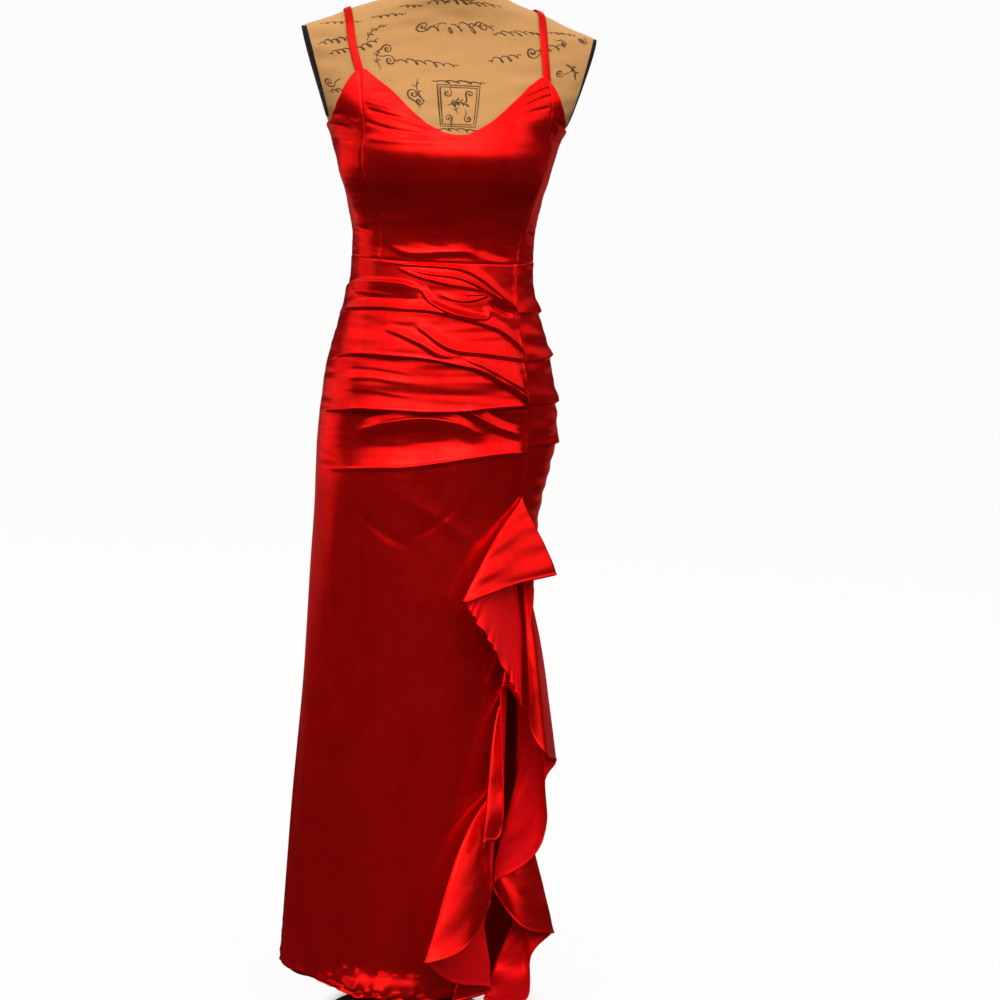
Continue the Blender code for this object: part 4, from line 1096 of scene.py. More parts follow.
def strap_lean(x, target_height, front):
    """The lean at which the strap's line passes a height, by halving."""
    low, high = (-30.0, 90.0) if front else (90.0, 210.0)
    for _ in range(HALVINGS):
        lean = (low + high) / 2
        height = form_reach(np.array([x]), np.array([lean]), 0.0)[0, 2]
        if (height < target_height) == front:
            low = lean
        else:
            high = lean
    return lean


def run_along(points, axis):
    """Distance of each point of a grid from the first one in its row or column."""
    steps = np.linalg.norm(np.diff(points, axis=axis), axis=-1)
    first = np.take(points[..., 0], [0], axis) * 0
    return np.concatenate([first, np.cumsum(steps, axis=axis)], axis=axis)


def closed_tube(name, rings, finish, uv=None, measures=None, inward=False, sharp=None):
    """A mesh from rings of points along a path, joined all round and with a face on each end. inward says
    that the rings turn the other way about the path, and sharp is the angle of an edge left sharp."""
    around = rings.shape[1]
    at = np.arange(len(rings) * around).reshape(-1, around)
    sides = grid_faces(np.concatenate([at, at[:, :1]], axis=1), flip=inward)
    ends = (at[0], at[-1, ::-1]) if inward else (at[0, ::-1], at[-1])
    sizes = np.concatenate([np.full(len(sides), 4), [around, around]])
    corners = np.concatenate([sides.ravel(), *ends])
    made = make_mesh(name, rings.reshape(-1, 3), corners, sizes, (finish,), uv, measures)
    if sharp:
        made.data.set_sharp_from_angle(angle=np.radians(sharp))
    print(f"{name}: {sum(sizes) - 2 * len(sizes)} triangles")
    return made


def strap(name, x_front, x_top, x_back):
    """A flat oval tube: the cross-section is half a width times the cosine across and half a thickness times
    the sine outwards, with the two flattened sides of a pressed tube."""
    first = strap_lean(x_front, STRAP_BASE - STRAP_TUCKED[0], True)
    last = strap_lean(x_back, BACK_TOP - STRAP_TUCKED[1], False)
    lean = np.linspace(first, last, STRAP_STEPS)
    x = smooth(lean, np.array([first, SHOULDER_LEAN, last]), np.array([x_front, x_top, x_back]))
    path = form_reach(x, lean, FORM_EASE)
    step_x, step_lean = 0.001, 0.3
    sideways = form_reach(x + step_x, lean, FORM_EASE) - form_reach(x - step_x, lean, FORM_EASE)
    onwards = form_reach(x, lean + step_lean, FORM_EASE) - form_reach(x, lean - step_lean, FORM_EASE)
    facing = unit(np.cross(sideways, onwards))
    across = np.cross(unit(np.gradient(path, axis=0)), facing)
    angle = np.linspace(0, 2 * np.pi, STRAP_ROUND, endpoint=False)
    flat = STRAP_HALF * (np.sign(np.cos(angle)) * np.abs(np.cos(angle)) ** 0.75)
    thick = np.sign(np.sin(angle)) * np.abs(np.sin(angle)) ** 0.9
    rings = (path[:, None] + across[:, None] * flat[None, :, None]
             + facing[:, None] * (STRAP_LIFT + STRAP_THICK / 2 * (1 + thick))[None, :, None])
    reach = run_along(path[:, None], 0)
    uv = np.stack(np.broadcast_arrays(flat[None, :], reach), axis=-1).reshape(-1, 2)
    to_edge = np.broadcast_to(STRAP_HALF - np.abs(flat)[None, :], rings.shape[:2]).ravel()
    made = closed_tube(name, rings, strap_satin_painted_darker, uv, {"to_edge": to_edge}, inward=True)
    print(f"{name}: {reach[-1, 0]:.3f} m long")
    return made, reach[-1, 0]


strap_pieces = {name: strap(name, *row[1:]) for name, row in STRAPS.items()}

# %% [markdown]
# ## The flounces
# A flounce is cut as a ring or a spiral, so its free edge is much longer than the edge sewn into the slit,
# and it has to fall in leaves that lie one over another. Each row of a table is one fold line: the height at
# which it leaves the seam, the x and the height of its free end, how far it bows sideways on the way, and
# its share of the flounce's stand off the skirt. At one level a fold line lies further off the skirt the
# further it has fallen, and so no leaf cuts through the next. One stretch of each rolled hem is frilled.

# %% Flounces
FLOUNCE_COLUMNS = ("seam", "x", "z", "sweep", "stand")
FLOUNCE_FRONT = np.array([
    # the flap over the top of the slit
    (0.7800, 0.165, 0.676, -0.009, 1.00), (0.7740, 0.100, 0.668, -0.005, 1.00),
    (0.7620, 0.040, 0.652, -0.002, 1.00),
    # the leaf below it, with the frilled hem
    (0.7350, 0.038, 0.645, -0.002, 1.00), (0.6900, 0.080, 0.580, 0.006, 1.00),
    (0.6200, 0.122, 0.500, 0.010, 1.00), (0.5800, 0.094, 0.520, 0.004, 0.90),
    # a narrow second fold
    (0.5250, 0.099, 0.345, 0.000, 0.85), (0.5050, 0.074, 0.326, -0.006, 0.85),
    (0.4750, 0.074, 0.316, -0.004, 0.85), (0.4550, 0.084, 0.345, 0.000, 0.80),
    (0.4350, 0.086, 0.290, 0.002, 0.80), (0.4000, 0.085, 0.232, 0.002, 0.70),
    # the broad leaf that swings over the front
    (0.3800, 0.050, 0.190, -0.010, 1.00), (0.3650, 0.001, 0.176, -0.013, 1.10),
    (0.3350, -0.001, 0.168, -0.013, 1.00), (0.2950, 0.040, 0.128, 0.000, 0.50),
    # the last leaf, down to the hem
    (0.2650, 0.092, 0.106, -0.012, 0.30), (0.2250, 0.092, 0.096, -0.012, 0.30),
    (0.2000, 0.044, 0.094, -0.003, 0.40), (0.1700, 0.042, 0.088, -0.003, 0.50),
    (0.1200, 0.050, 0.082, 0.000, 0.60),
])
FLOUNCE_SIDE = np.array([
    # from behind the flap down to the first leaf
    (0.7500, 0.138, 0.655, 0.000, 1.00), (0.7300, 0.136, 0.560, 0.000, 1.00),
    (0.7100, 0.136, 0.475, 0.000, 1.25), (0.6850, 0.160, 0.436, 0.000, 1.60),
    (0.6600, 0.182, 0.410, 0.003, 0.90), (0.6200, 0.166, 0.386, 0.003, 0.90),
    (0.5300, 0.173, 0.318, 0.006, 0.90), (0.4500, 0.156, 0.274, 0.003, 0.80),
    # a fold that turns in under the front flounce, with the frilled hem
    (0.4000, 0.104, 0.242, 0.006, 0.80), (0.3700, 0.102, 0.228, 0.003, 0.90),
    # the second leaf
    (0.3500, 0.140, 0.182, 0.000, 1.30), (0.3250, 0.190, 0.157, 0.003, 1.25),
    (0.2700, 0.192, 0.148, 0.003, 1.00), (0.2400, 0.162, 0.126, 0.000, 0.90),
    # the last leaf, down to the hem
    (0.1850, 0.158, 0.064, 0.000, 0.90), (0.1600, 0.097, 0.066, 0.000, 1.00),
    (0.1200, 0.120, 0.066, 0.000, 1.00),
])
FLOUNCE_CLOTH, ROLLED_HEM, ROLL_REACH = 0.0009, 0.0007, 0.0016
ROLL_STEPS = [0.004, 0.010, 0.019, 0.031]   # fractions of the way in, for more rows at the rolled hem
FLOUNCE_FALL = 0.117    # the fall at which a fold line stands off by the whole stand
FLOUNCE_DROP = 1.5      # power with which a fold line falls
SWEEP_SCALE = 6.75      # carries the greatest value of x times the square of 1 - x to 1
FROM_SLIT = 0.35        # degrees from the slit's edge to the seam line
# How far a flounce stands off, the power with which it does so, its share of the skirt's roundness on its
# left and on its right, and its lift off the skin
FRONT_STAND, FRONT_SPREAD, FRONT_FOLLOW, FRONT_LIFT = 0.051, 0.85, (1.0, 0.4), 0.0021
SIDE_STAND, SIDE_SPREAD, SIDE_FOLLOW, SIDE_LIFT = 0.030, 1.0, (0.0, 0.4), 0.0013
FOLLOW_BLEND = 0.015
SLOW_WAVE = 0.0011
FRONT_CRUMPLE, SIDE_CRUMPLE = 0.0007, 0.0014    # soft dents in the free cloth
FRONT_FRILL, SIDE_FRILL = (3, 5), (8, 9)        # first and last row of the frilled stretch
PUCKER_SIZE, PUCKERS_A_ROW, PUCKER_POWER = 0.0021, 4.7, 18.0
ROW_STEPS, FRILL_STEPS = 18, 48                 # points from row to row, and in the frilled stretch


def flounce(rows, slit, side, stand, spread, follow, lift, seed, puckers, crumple):
    """A function of a fold row and a fraction out from the seam. The height falls from the seam's to the free
    end's with that fraction to the power FLOUNCE_DROP, x goes there in a straight line with a sweep, and y
    is the skirt's depth plus a stand that grows with the fall."""
    index = np.arange(len(rows), dtype=float)
    left_share, right_share = follow
    pucker_from, pucker_to = puckers

    def surface(row, out):
        columns = (smooth(row, index, rows[:, k]) for k in range(len(FLOUNCE_COLUMNS)))
        seam_height, x, z, sweep, share = columns
        seam = skin(slit(seam_height), seam_height)
        height = seam_height + (z - seam_height) * out**FLOUNCE_DROP
        bow = SWEEP_SCALE * out * (1 - out) ** 2 * sweep
        across = seam[..., 0] + (x - seam[..., 0]) * out + bow
        here = skin(slit(height), height)
        off = across - here[..., 0]
        rounded = np.sqrt(off**2 + FOLLOW_BLEND**2) - FOLLOW_BLEND
        followed = here[..., 0] + (left_share + right_share) / 2 * off
        followed = followed + (right_share - left_share) / 2 * rounded
        _, wide, deep, _, bend = section(height)
        depth = deep * (1 - np.clip(followed / wide, -1, 1) ** 2) ** (bend / 2)
        away = stand * share * ((seam_height - height) / FLOUNCE_FALL) ** spread
        wave = SLOW_WAVE * out**2 * ripples(row * 0.02, out * 0.05, 0.030, 1.0, seed)
        wave = wave + crumple * out * ripples(row * 0.03, out * 0.12, 0.034, 1.3, seed + 7)
        wave = wave + crumple * 0.12 * out * ripples(row * 0.03, out * 0.12, 0.014, 1.2, seed + 8)
        pucker = out**PUCKER_POWER * fade((row - pucker_from) / 0.2) * fade((pucker_to - row) / 0.3)
        pucker = pucker * (1 + 0.6 * np.sin(7.3 * row + 1))
        phase = 2 * np.pi * PUCKERS_A_ROW * row + 1.5 * np.sin(2.3 * row) + 1.5 * np.sin(9.7 * row)
        across = across + PUCKER_SIZE * 0.7 * pucker * np.sin(phase)
        wave = wave + PUCKER_SIZE * pucker * np.cos(phase)
        turn = slit(height) + side * FROM_SLIT
        point = np.stack([across, -depth - away - wave, height + 0.6 * wave], axis=-1)
        return point + skin(turn, height) - here + normals(skin, turn, height) * lift
    return surface


def flounce_piece(name, surface, row_count, across, frill, finishes):
    """The shell of a flounce. Grid normals give its thickness, which swells into a narrow rolled hem along
    the free edge. The grid is finer between the rows where the hem is frilled."""
    out = 1 - np.unique(np.concatenate([np.linspace(0, 1, odd(across)), ROLL_STEPS]))
    even = np.linspace(0, row_count - 1, odd(ROW_STEPS * (row_count - 1)))
    fine = np.linspace(*frill, odd(FRILL_STEPS * (frill[1] - frill[0])))
    outside = (even < frill[0] - 1e-6) | (even > frill[1] + 1e-6)
    row, out = np.meshgrid(np.unique(np.concatenate([even[outside], fine])), out)
    outer = surface(row, out)
    facing = unit(np.cross(np.gradient(outer, axis=1), np.gradient(outer, axis=0)))
    to_edge, along = run_along(outer, 0), run_along(outer, 1)
    roll = ROLLED_HEM * np.sqrt(np.clip(1 - (to_edge / ROLL_REACH - 1) ** 2, 0, 1))
    roll = np.where(to_edge < 2 * ROLL_REACH, roll, 0)[..., None]
    uv = np.stack([along, to_edge], axis=-1)
    inner = outer - facing * (roll + FLOUNCE_CLOTH)
    return shell(name, outer + facing * roll, inner, uv, to_edge, finishes, every=1)


front_flounce = flounce(FLOUNCE_FRONT, slit_front, 1, FRONT_STAND, FRONT_SPREAD, FRONT_FOLLOW, FRONT_LIFT, 51,
                        FRONT_FRILL, FRONT_CRUMPLE)
side_flounce = flounce(FLOUNCE_SIDE, slit_side, -1, SIDE_STAND, SIDE_SPREAD, SIDE_FOLLOW, SIDE_LIFT, 52,
                       SIDE_FRILL, SIDE_CRUMPLE)
satin_flounce_front = flounce_piece("satin_flounce_front", front_flounce, len(FLOUNCE_FRONT), 60, FRONT_FRILL,
                                    SATIN[::-1])
satin_flounce_side = flounce_piece("satin_flounce_side", side_flounce, len(FLOUNCE_SIDE), 50, SIDE_FRILL,
                                   SATIN)

# %% [markdown]
# ## Linen
# The form is padded and covered in coarse natural linen, sewn from a few gores and printed in brown with pen
# flourishes. The weave is a group of its own: two crossed sets of threads from sines of the map, broken up
# by noise, with thick threads here and there. Age has stained the cloth in soft warm clouds.

# %% Linen and ink
THREADS_PER_METRE = 950.0
SLUBS_ALONG, SLUBS_BESIDE = 30.0, 1100.0    # waves a metre along a thick thread and beside it
SEAM_THREAD = 0.0009        # half width of the dark line of a gore's seam
INK_WEAR = (0.48, 0.70)     # noise at which the ink starts to fade, and at which it has faded most


def linen_threads():
    """Crossed threads with slubs among them, as a shade and a height."""
    tree, enter, leave = new_group("linen_weave", {"Cloth": "Vector"}, {"Shade": "Float", "Height": "Float"})
    cloth = enter.outputs["Cloth"]
    parts = node(tree, "SeparateXYZ", Vector=cloth)
    wobble = maths(tree, "MULTIPLY", noise(tree, cloth, (60.0, 60.0), 2.0), 9.0)
    turns = [maths(tree, "MULTIPLY_ADD", parts.outputs[axis], 2 * np.pi * THREADS_PER_METRE, wobble)
             for axis in "XY"]
    warp, weft = (maths(tree, "SINE", turn) for turn in turns)
    checks = maths(tree, "MULTIPLY_ADD", maths(tree, "MULTIPLY", warp, weft), 0.25, 0.5)
    slub_across = noise(tree, cloth, (SLUBS_ALONG, SLUBS_BESIDE), 2.0)
    slub_up = noise(tree, cloth, (SLUBS_BESIDE, SLUBS_ALONG), 2.0)
    slub = maths(tree, "MULTIPLY", maths(tree, "ADD", slub_across, slub_up), 0.5)
    tree.links.new(blend(tree, (checks, 0.4), (slub, 0.6)), leave.inputs["Shade"])
    tree.links.new(blend(tree, (checks, 0.6), (slub, 0.4)), leave.inputs["Height"])
    return tree


def linen_finish():
    """Dark and light threads, stains of age in clouds, and a dark line along each gore's seam."""
    made, tree = with_tree(bpy.data.materials.new("linen"))
    uv = node(tree, "UVMap", {"uv_map": "cloth"})
    cloth = placed(tree, linen_threads(), Cloth=uv.outputs["UV"])
    stain = noise(tree, uv.outputs["UV"], (9.0, 7.0), 4.0, 0.6)
    threads = mixed(tree, cloth.outputs["Shade"], (0.310, 0.152, 0.046), (0.62, 0.345, 0.125))
    aged = mixed(tree, mapped_range(tree, stain, 0.0, 0.55), threads, (0.47, 0.228, 0.064))
    seam = node(tree, "Attribute", {"attribute_name": "to_edge"})
    near_seam = maths(tree, "LESS_THAN", seam.outputs["Fac"], SEAM_THREAD)
    sewn = mixed(tree, maths(tree, "MULTIPLY", near_seam, 0.55), aged, (0.20, 0.10, 0.035))
    raised = node(tree, "Bump", Height=cloth.outputs["Height"], Strength=0.5, Distance=0.0005)
    return principled(made, tree, (0.62, 0.36, 0.14), Base_Color=sewn, Roughness=0.85, Sheen_Weight=0.15,
                      Normal=raised.outputs[0])


def ink_finish():
    """Brown ink that has worn off the high threads."""
    made, tree = with_tree(bpy.data.materials.new("brown_ink"))
    uv = node(tree, "UVMap", {"uv_map": "cloth"})
    wear = noise(tree, uv.outputs["UV"], (700.0, 700.0), 3.0, 0.6)
    faded = ranged(tree, wear, INK_WEAR, (0.0, 0.55))
    shade = mixed(tree, faded, (0.050, 0.020, 0.008), (0.33, 0.17, 0.06))
    return principled(made, tree, (0.06, 0.025, 0.01), Base_Color=shade, Roughness=0.8)


linen, ink = linen_finish(), ink_finish()
print("linen threads a metre:", THREADS_PER_METRE)

# %% [markdown]
# ## The form
# The torso is one padded volume. Where an arm would start it is cut by a leaning plane. To keep that cut
# crisp, the columns of the grid are laid so that one of them runs exactly along it: at each height the turn
# at which the skin meets the plane is worked out first, and the columns are shared out on both sides of it.

# %% The torso
ARM_PLANE_LOW, ARM_PLANE_HIGH = np.array([0.158, 1.262]), np.array([0.195, 1.395])
BOARD_THICK, BOARD_OUT = 0.0055, 0.0031     # of an arm board, and how far its face lies outside the plane
BOARD_BED = 0.0004                          # how far a board is pressed into the padding
TORSO_CUT = BOARD_OUT - BOARD_THICK + BOARD_BED
CUT_END = np.sin(np.radians(88.0))


def linen_skin(turn, height):
    """The skin of the form itself, under the satin."""
    return skin(turn, height, FORM_EASE)


def arm_plane(height, off):
    """x of the arm's cut at a height, moved outwards by off."""
    rise = ARM_PLANE_HIGH - ARM_PLANE_LOW
    lean = rise[0] / rise[1]
    return ARM_PLANE_LOW[0] + (height - ARM_PLANE_LOW[1]) * lean + off * np.sqrt(1 + lean**2)


def cut_turn(height, off, ease):
    """The turn at which the skin meets the cut, at most 88 degrees where the cut misses the skin."""
    left, _, _, _, _ = section(height)
    return np.degrees(np.arcsin(np.clip(arm_plane(height, off) / (left - ease), 0, CUT_END)))


def trunk(columns, height, off, ease):
    """The torso's skin for columns 0 to 4: 0 to 1 runs over the front from cut to cut, 1 to 2 over the cut at
    +X, 2 to 3 over the back and 3 to 4 over the cut at -X, with x held at the cut."""
    edge = cut_turn(height, off, ease)
    quarter = np.floor(columns) % 4
    part = columns - np.floor(columns)
    starts = np.stack([-edge, edge, 180 - edge, 180 + edge])
    spans = np.stack([2 * edge, 180 - 2 * edge, 2 * edge, 180 - 2 * edge])
    pick = quarter.astype(int)
    start = np.take_along_axis(starts, pick[None], 0)[0]
    span = np.take_along_axis(spans, pick[None], 0)[0]
    turn = start + span * part
    point = skin(turn, height, ease)
    most = arm_plane(height, off)
    point[..., 0] = np.clip(point[..., 0], -most, most)
    return point, turn


TORSO_ROUND = 120, 22       # columns over the front or the back, and over an arm's cut
FOOT_INSET, FOOT_DROP, FOOT_ROWS = 0.045, 0.035, 12
GORE_SEAMS = (180.0, 124.0, 236.0)
GORE_RADIUS, MAP_RADIUS = 0.12, 0.13    # metres a radian, for the distance to a seam and for the map
GORE_DIP, GORE_REACH, PADDING_PUFF = 0.0006, 0.0016, 0.0004
PADDING_IN = 0.0002


def make_torso():
    """The padded volume. Its foot curves in by a quarter of an ellipse, and seams pull its gores together."""
    over, cut = (np.linspace(0, 1, count, endpoint=False) for count in TORSO_ROUND)
    quarter = np.radians(np.linspace(0, 90, FOOT_ROWS)[:-1])
    foot_heights = FORM_FOOT + FOOT_DROP * (1 - np.cos(quarter))
    heights = np.concatenate([np.arange(FORM_FOOT + FOOT_DROP, 1.10, 0.008), np.arange(1.10, 1.25, 0.005),
                              np.arange(1.25, 1.46, 0.0025), np.linspace(1.46, NECK_TOP, 16)])
    insets = np.concatenate([FOOT_INSET * (1 - np.sin(quarter)), 0 * heights])
    column, height = np.meshgrid(np.concatenate([over, 1 + cut, 2 + over, 3 + cut]),
                                 np.concatenate([foot_heights, heights]))
    ease = FORM_EASE + np.broadcast_to(insets[:, None], height.shape)
    points, turn = trunk(column, height, TORSO_CUT, ease)
    off_seams = [np.abs(wrapped(turn - gore)) * np.pi / 180 * GORE_RADIUS for gore in GORE_SEAMS]
    to_seam = np.minimum.reduce(off_seams)
    dip = GORE_DIP * bell(to_seam / GORE_REACH)
    puff = PADDING_PUFF * ripples(turn * 0.002, height, 0.03, 1.0, 61)
    inside_cut = np.abs(points[..., 0]) < arm_plane(height, TORSO_CUT) - 1e-6
    points = points - normals(linen_skin, turn, height) * ((dip + puff + PADDING_IN) * inside_cut)[..., None]
    uv = np.stack([np.radians(turn) * MAP_RADIUS, height], axis=-1).reshape(-1, 2)
    return closed_tube("linen_torso", points, linen, uv, {"to_edge": to_seam.ravel()}, sharp=50)


torso = make_torso()

# %% [markdown]
# ## Pen flourishes
# The print on the linen is in a pen's line, thick where it is drawn down and thin where it turns. Here it
# is made of curls, waves, sprigs and dots only, drawn as flat ribbons of ink along paths over the linen. Each
# motif is a formula: a curl is a spiral, a wave is a sine that loops, and a sprig is a stem with leaves.

# %% Print the linen
INK_OFF, INK_THICK = 0.00025, 0.00012
PEN_THIN, PEN_SWELL = 0.00058, 0.00060  # half width of a stroke, and what it gains where it runs down
LOOP_LEAN = 0.9         # how far a wave's loops lean back
CLEAR_OF_CUT = 0.003    # a stroke that would come nearer to the arm's cut is left out


def curl(turns, size, wind=1.0):
    """A spiral out to size, with its tail carried on in a gentle sweep."""
    t = np.linspace(0.12, 1, 44)
    angle = wind * 2 * np.pi * turns * t
    spiral = np.stack([np.cos(angle), np.sin(angle)], axis=-1) * (size * t**1.3)[:, None]
    tail = np.linspace(0, 1, 14)[1:, None]
    way = spiral[-1] - spiral[-2]
    way = way / np.hypot(*way)
    sweep = np.array([-way[1], way[0]]) * wind
    return np.concatenate([spiral, spiral[-1] + way * tail * size * 1.5 - sweep * tail**2 * size * 0.7])


def looped_wave(length, loops, high):
    """A line that runs on while it goes round: along plus a sine, up a cosine that swells and dies away."""
    t = np.linspace(0, 1, 18 * loops)
    angle = 2 * np.pi * loops * t
    swell = np.sin(np.pi * t) ** 0.5 * (0.75 + 0.25 * np.cos(3.3 * angle / loops))
    along = length * t + LOOP_LEAN * length / loops / 2 * np.sin(angle) * swell
    return np.stack([along - length / 2, high * 0.5 * np.cos(angle + 0.6) * swell], axis=-1)


def sprig(length, leaves):
    """A bowed stem, then pairs of leaves as closed drops."""
    t = np.linspace(0, 1, 20)
    stem = np.stack([length * (t - 0.5), length * 0.16 * np.sin(np.pi * t)], axis=-1)
    parts = [stem]
    for k in range(leaves):
        share = (k + 1) / (leaves + 1)
        root = np.array([length * (share - 0.5), length * 0.16 * np.sin(np.pi * share)])
        for side in (-1, 1):
            angle = side * 0.9
            a = np.linspace(0, np.pi, 12)
            drop = np.stack([length * 0.17 * np.sin(a / 2) ** 2, length * 0.05 * np.sin(a)], axis=-1)
            turned = drop @ np.array([[np.cos(angle), np.sin(angle)], [-np.sin(angle), np.cos(angle)]])
            parts.append(root + turned)
    return parts


def dots(spacing, count):
    """A level row of short strokes."""
    return [np.array([[spacing * (k - count / 2), 0.0], [spacing * (k - count / 2) + 0.0012, 0.0003]])
            for k in range(count)]


def frame_of_scrolls(wide, tall):
    """A plain upright cartouche: two nested frames, with a curl in each corner and a sprig in the middle."""
    parts = []
    for inset in (0.0, 0.0032):
        w, h = wide / 2 - inset, tall / 2 - inset
        corners_at = np.array([(-w, -h), (w, -h), (w, h), (-w, h), (-w, -h)])
        k = np.linspace(0, 4, 61)
        parts.append(np.stack([np.interp(k, range(5), corners_at[:, axis]) for axis in (0, 1)], axis=-1))
    for side in (-1, 1):
        for up in (-1, 1):
            one = curl(1.6, 0.0062, side * up)
            parts.append(one * (side, 1) * 0.9 + (side * wide * 0.27, up * tall * 0.30))
    parts += [part * (0.9, 1.0) for part in sprig(wide * 0.62, 4)]
    parts += [part @ np.array([[0, 1], [-1, 0]]) for part in sprig(tall * 0.42, 3)]
    parts += [looped_wave(wide * 1.25, 5, 0.005) + (0, -side * tall * 0.58) for side in (-1, 1)]
    return parts


# One row for each motif: kind, turn, height, slant in degrees, and its sizes. They lie in leaning rows.
MOTIFS = [
    ("wave", 3, 1.4015, 4, 0.1, 7, 0.017), ("wave", 25, 1.3975, 6, 0.062, 6, 0.011),
    ("curl", -12.5, 1.401, 20, 0.01), ("curl", 12.5, 1.404, 190, 0.008),
    ("wave", -10, 1.353, -3, 0.086, 7, 0.009), ("curl", -23.5, 1.354, 160, 0.008),
    ("wave", 19, 1.364, 14, 0.046, 4, 0.013), ("curl", 30, 1.3735, 12, 0.009),
    ("wave", 38, 1.379, 17, 0.058, 5, 0.01), ("curl", -24, 1.369, 200, 0.007),
    ("wave", -54, 1.401, 14, 0.05, 6, 0.009), ("wave", -52, 1.389, 13, 0.056, 7, 0.008),
    ("wave", -47, 1.377, 14, 0.052, 6, 0.009), ("wave", -44, 1.364, 16, 0.034, 4, 0.008),
    ("wave", -33, 1.372, 32, 0.04, 4, 0.011), ("sprig", -30, 1.39, 60, 0.03, 3),
    ("wave", -34, 1.413, 16, 0.04, 5, 0.008), ("curl", -58, 1.338, 120, 0.012),
    ("curl", -55, 1.323, 20, 0.008), ("wave", -52, 1.312, 8, 0.026, 3, 0.006),
    ("sprig", -27, 1.356, 86, 0.03, 2), ("dots", -29, 1.3395, 8, 0.006, 3),
    ("dots", -24, 1.327, -30, 0.005, 3), ("curl", -16, 1.312, -70, 0.009), ("curl", -14, 1.303, 100, 0.006),
    ("sprig", -12.5, 1.318, 98, 0.036, 2), ("wave", -12, 1.433, 5, 0.03, 3, 0.008),
    ("wave", 5, 1.436, 3, 0.04, 4, 0.009), ("wave", 24, 1.433, -4, 0.046, 5, 0.01),
    ("wave", -28, 1.427, 8, 0.03, 4, 0.006), ("wave", 52, 1.4, -8, 0.036, 5, 0.008),
    ("curl", 60, 1.393, 30, 0.006), ("dots", 66, 1.401, 0, 0.008, 3), ("curl", 46, 1.388, 160, 0.005),
    ("sprig", 36, 1.396, -40, 0.02, 2), ("sprig", 50, 1.35, -48, 0.03, 2),
    ("dots", 36, 1.345, 20, 0.006, 3), ("curl", 70, 1.348, 60, 0.005),
    ("wave", 66, 1.327, 50, 0.022, 3, 0.005), ("curl", 44, 1.348, 10, 0.006),
    ("frame", 2.0, 1.299, 0, 0.052, 0.06), ("wave", 172, 1.4, 5, 0.11, 8, 0.014),
    ("wave", 186, 1.372, -4, 0.09, 7, 0.01), ("wave", 150, 1.37, 10, 0.06, 6, 0.01),
    ("wave", 214, 1.385, -8, 0.07, 6, 0.011), ("wave", 226, 1.35, 6, 0.05, 5, 0.01),
    ("curl", 196, 1.335, 40, 0.01), ("curl", 140, 1.335, 160, 0.01), ("sprig", 166, 1.335, 8, 0.05, 4),
    ("sprig", 214, 1.31, 60, 0.036, 3), ("wave", 180, 1.3, 3, 0.08, 8, 0.008),
    ("wave", 148, 1.296, 12, 0.05, 5, 0.008), ("dots", 200, 1.312, 10, 0.008, 4),
    ("wave", 178, 1.433, 0, 0.06, 6, 0.009), ("curl", 120, 1.33, 80, 0.009),
    ("curl", 238, 1.325, 20, 0.009), ("wave", 176, 1.27, 0, 0.07, 6, 0.009),
]


MOTIF_LINES = {
    "wave": lambda length, loops, high: [looped_wave(length, loops, high)],
    "curl": lambda size: [curl(1.9, size)],
    "sprig": sprig,
    "dots": dots,
    "frame": frame_of_scrolls,
}


def ribbon(line, centre_turn, centre_height, slant, first_point):
    """A flat ribbon with four corners to its section. Its half width swells where the pen moves downwards."""
    a = np.radians(slant)
    line = line @ np.array([[np.cos(a), np.sin(a)], [-np.sin(a), np.cos(a)]])
    way = np.gradient(line, axis=0)
    way = way / np.maximum(np.hypot(way[:, 0], way[:, 1]), 1e-9)[:, None]
    share = np.linspace(0, 1, len(line))
    half = (PEN_THIN + PEN_SWELL * np.clip(-way[:, 1], 0, 1)) * (0.35 + 0.65 * np.sin(np.pi * share) ** 0.4)
    beside = np.stack([-way[:, 1], way[:, 0]], axis=-1) * half[:, None]
    near = linen_skin(centre_turn + np.array([0.0, 1.0, 0.0]), centre_height + np.array([0.0, 0.0, 0.001]))
    per_turn, per_height = np.linalg.norm(near[1] - near[0]), np.linalg.norm(near[2] - near[0]) / 0.001
    rings = []
    for side, lift in ((-1, INK_OFF), (1, INK_OFF), (1, INK_OFF + INK_THICK), (-1, INK_OFF + INK_THICK)):
        flat = line + side * beside
        turn = centre_turn + flat[:, 0] / per_turn
        height = centre_height + flat[:, 1] / per_height
        rings.append(linen_skin(turn, height) + normals(linen_skin, turn, height) * lift)
    at = first_point + np.arange(len(line) * 4).reshape(-1, 4)
    sides = grid_faces(np.concatenate([at, at[:, :1]], axis=1), flip=True)
    caps = np.stack([at[0], at[-1, ::-1]])
    uv = np.broadcast_to(line[:, None] + (centre_turn * 0.002, centre_height), (len(line), 4, 2))
    return np.stack(rings, axis=1).reshape(-1, 3), np.concatenate([sides, caps]), uv.reshape(-1, 2)


def make_flourishes():
    """All strokes in one mesh, without those that would reach the arm's cut."""
    points, faces, uvs, total = [], [], [], 0
    for kind, turn, height, slant, *sizes in MOTIFS:
        for line in MOTIF_LINES[kind](*sizes):
            stroke, stroke_faces, stroke_uv = ribbon(line, turn, height, slant, total)
            if (np.abs(stroke[:, 0]) > arm_plane(stroke[:, 2], TORSO_CUT) - CLEAR_OF_CUT).any():
                continue
            points.append(stroke)
            faces.append(stroke_faces)
            uvs.append(stroke_uv)
            total += len(stroke)
    faces = np.concatenate(faces)
    print("linen_print:", 2 * len(faces), "triangles")
    return make_mesh("linen_print", np.concatenate(points), faces.ravel(), np.full(len(faces), 4), (ink,),
                     np.concatenate(uvs))


flourishes = make_flourishes()
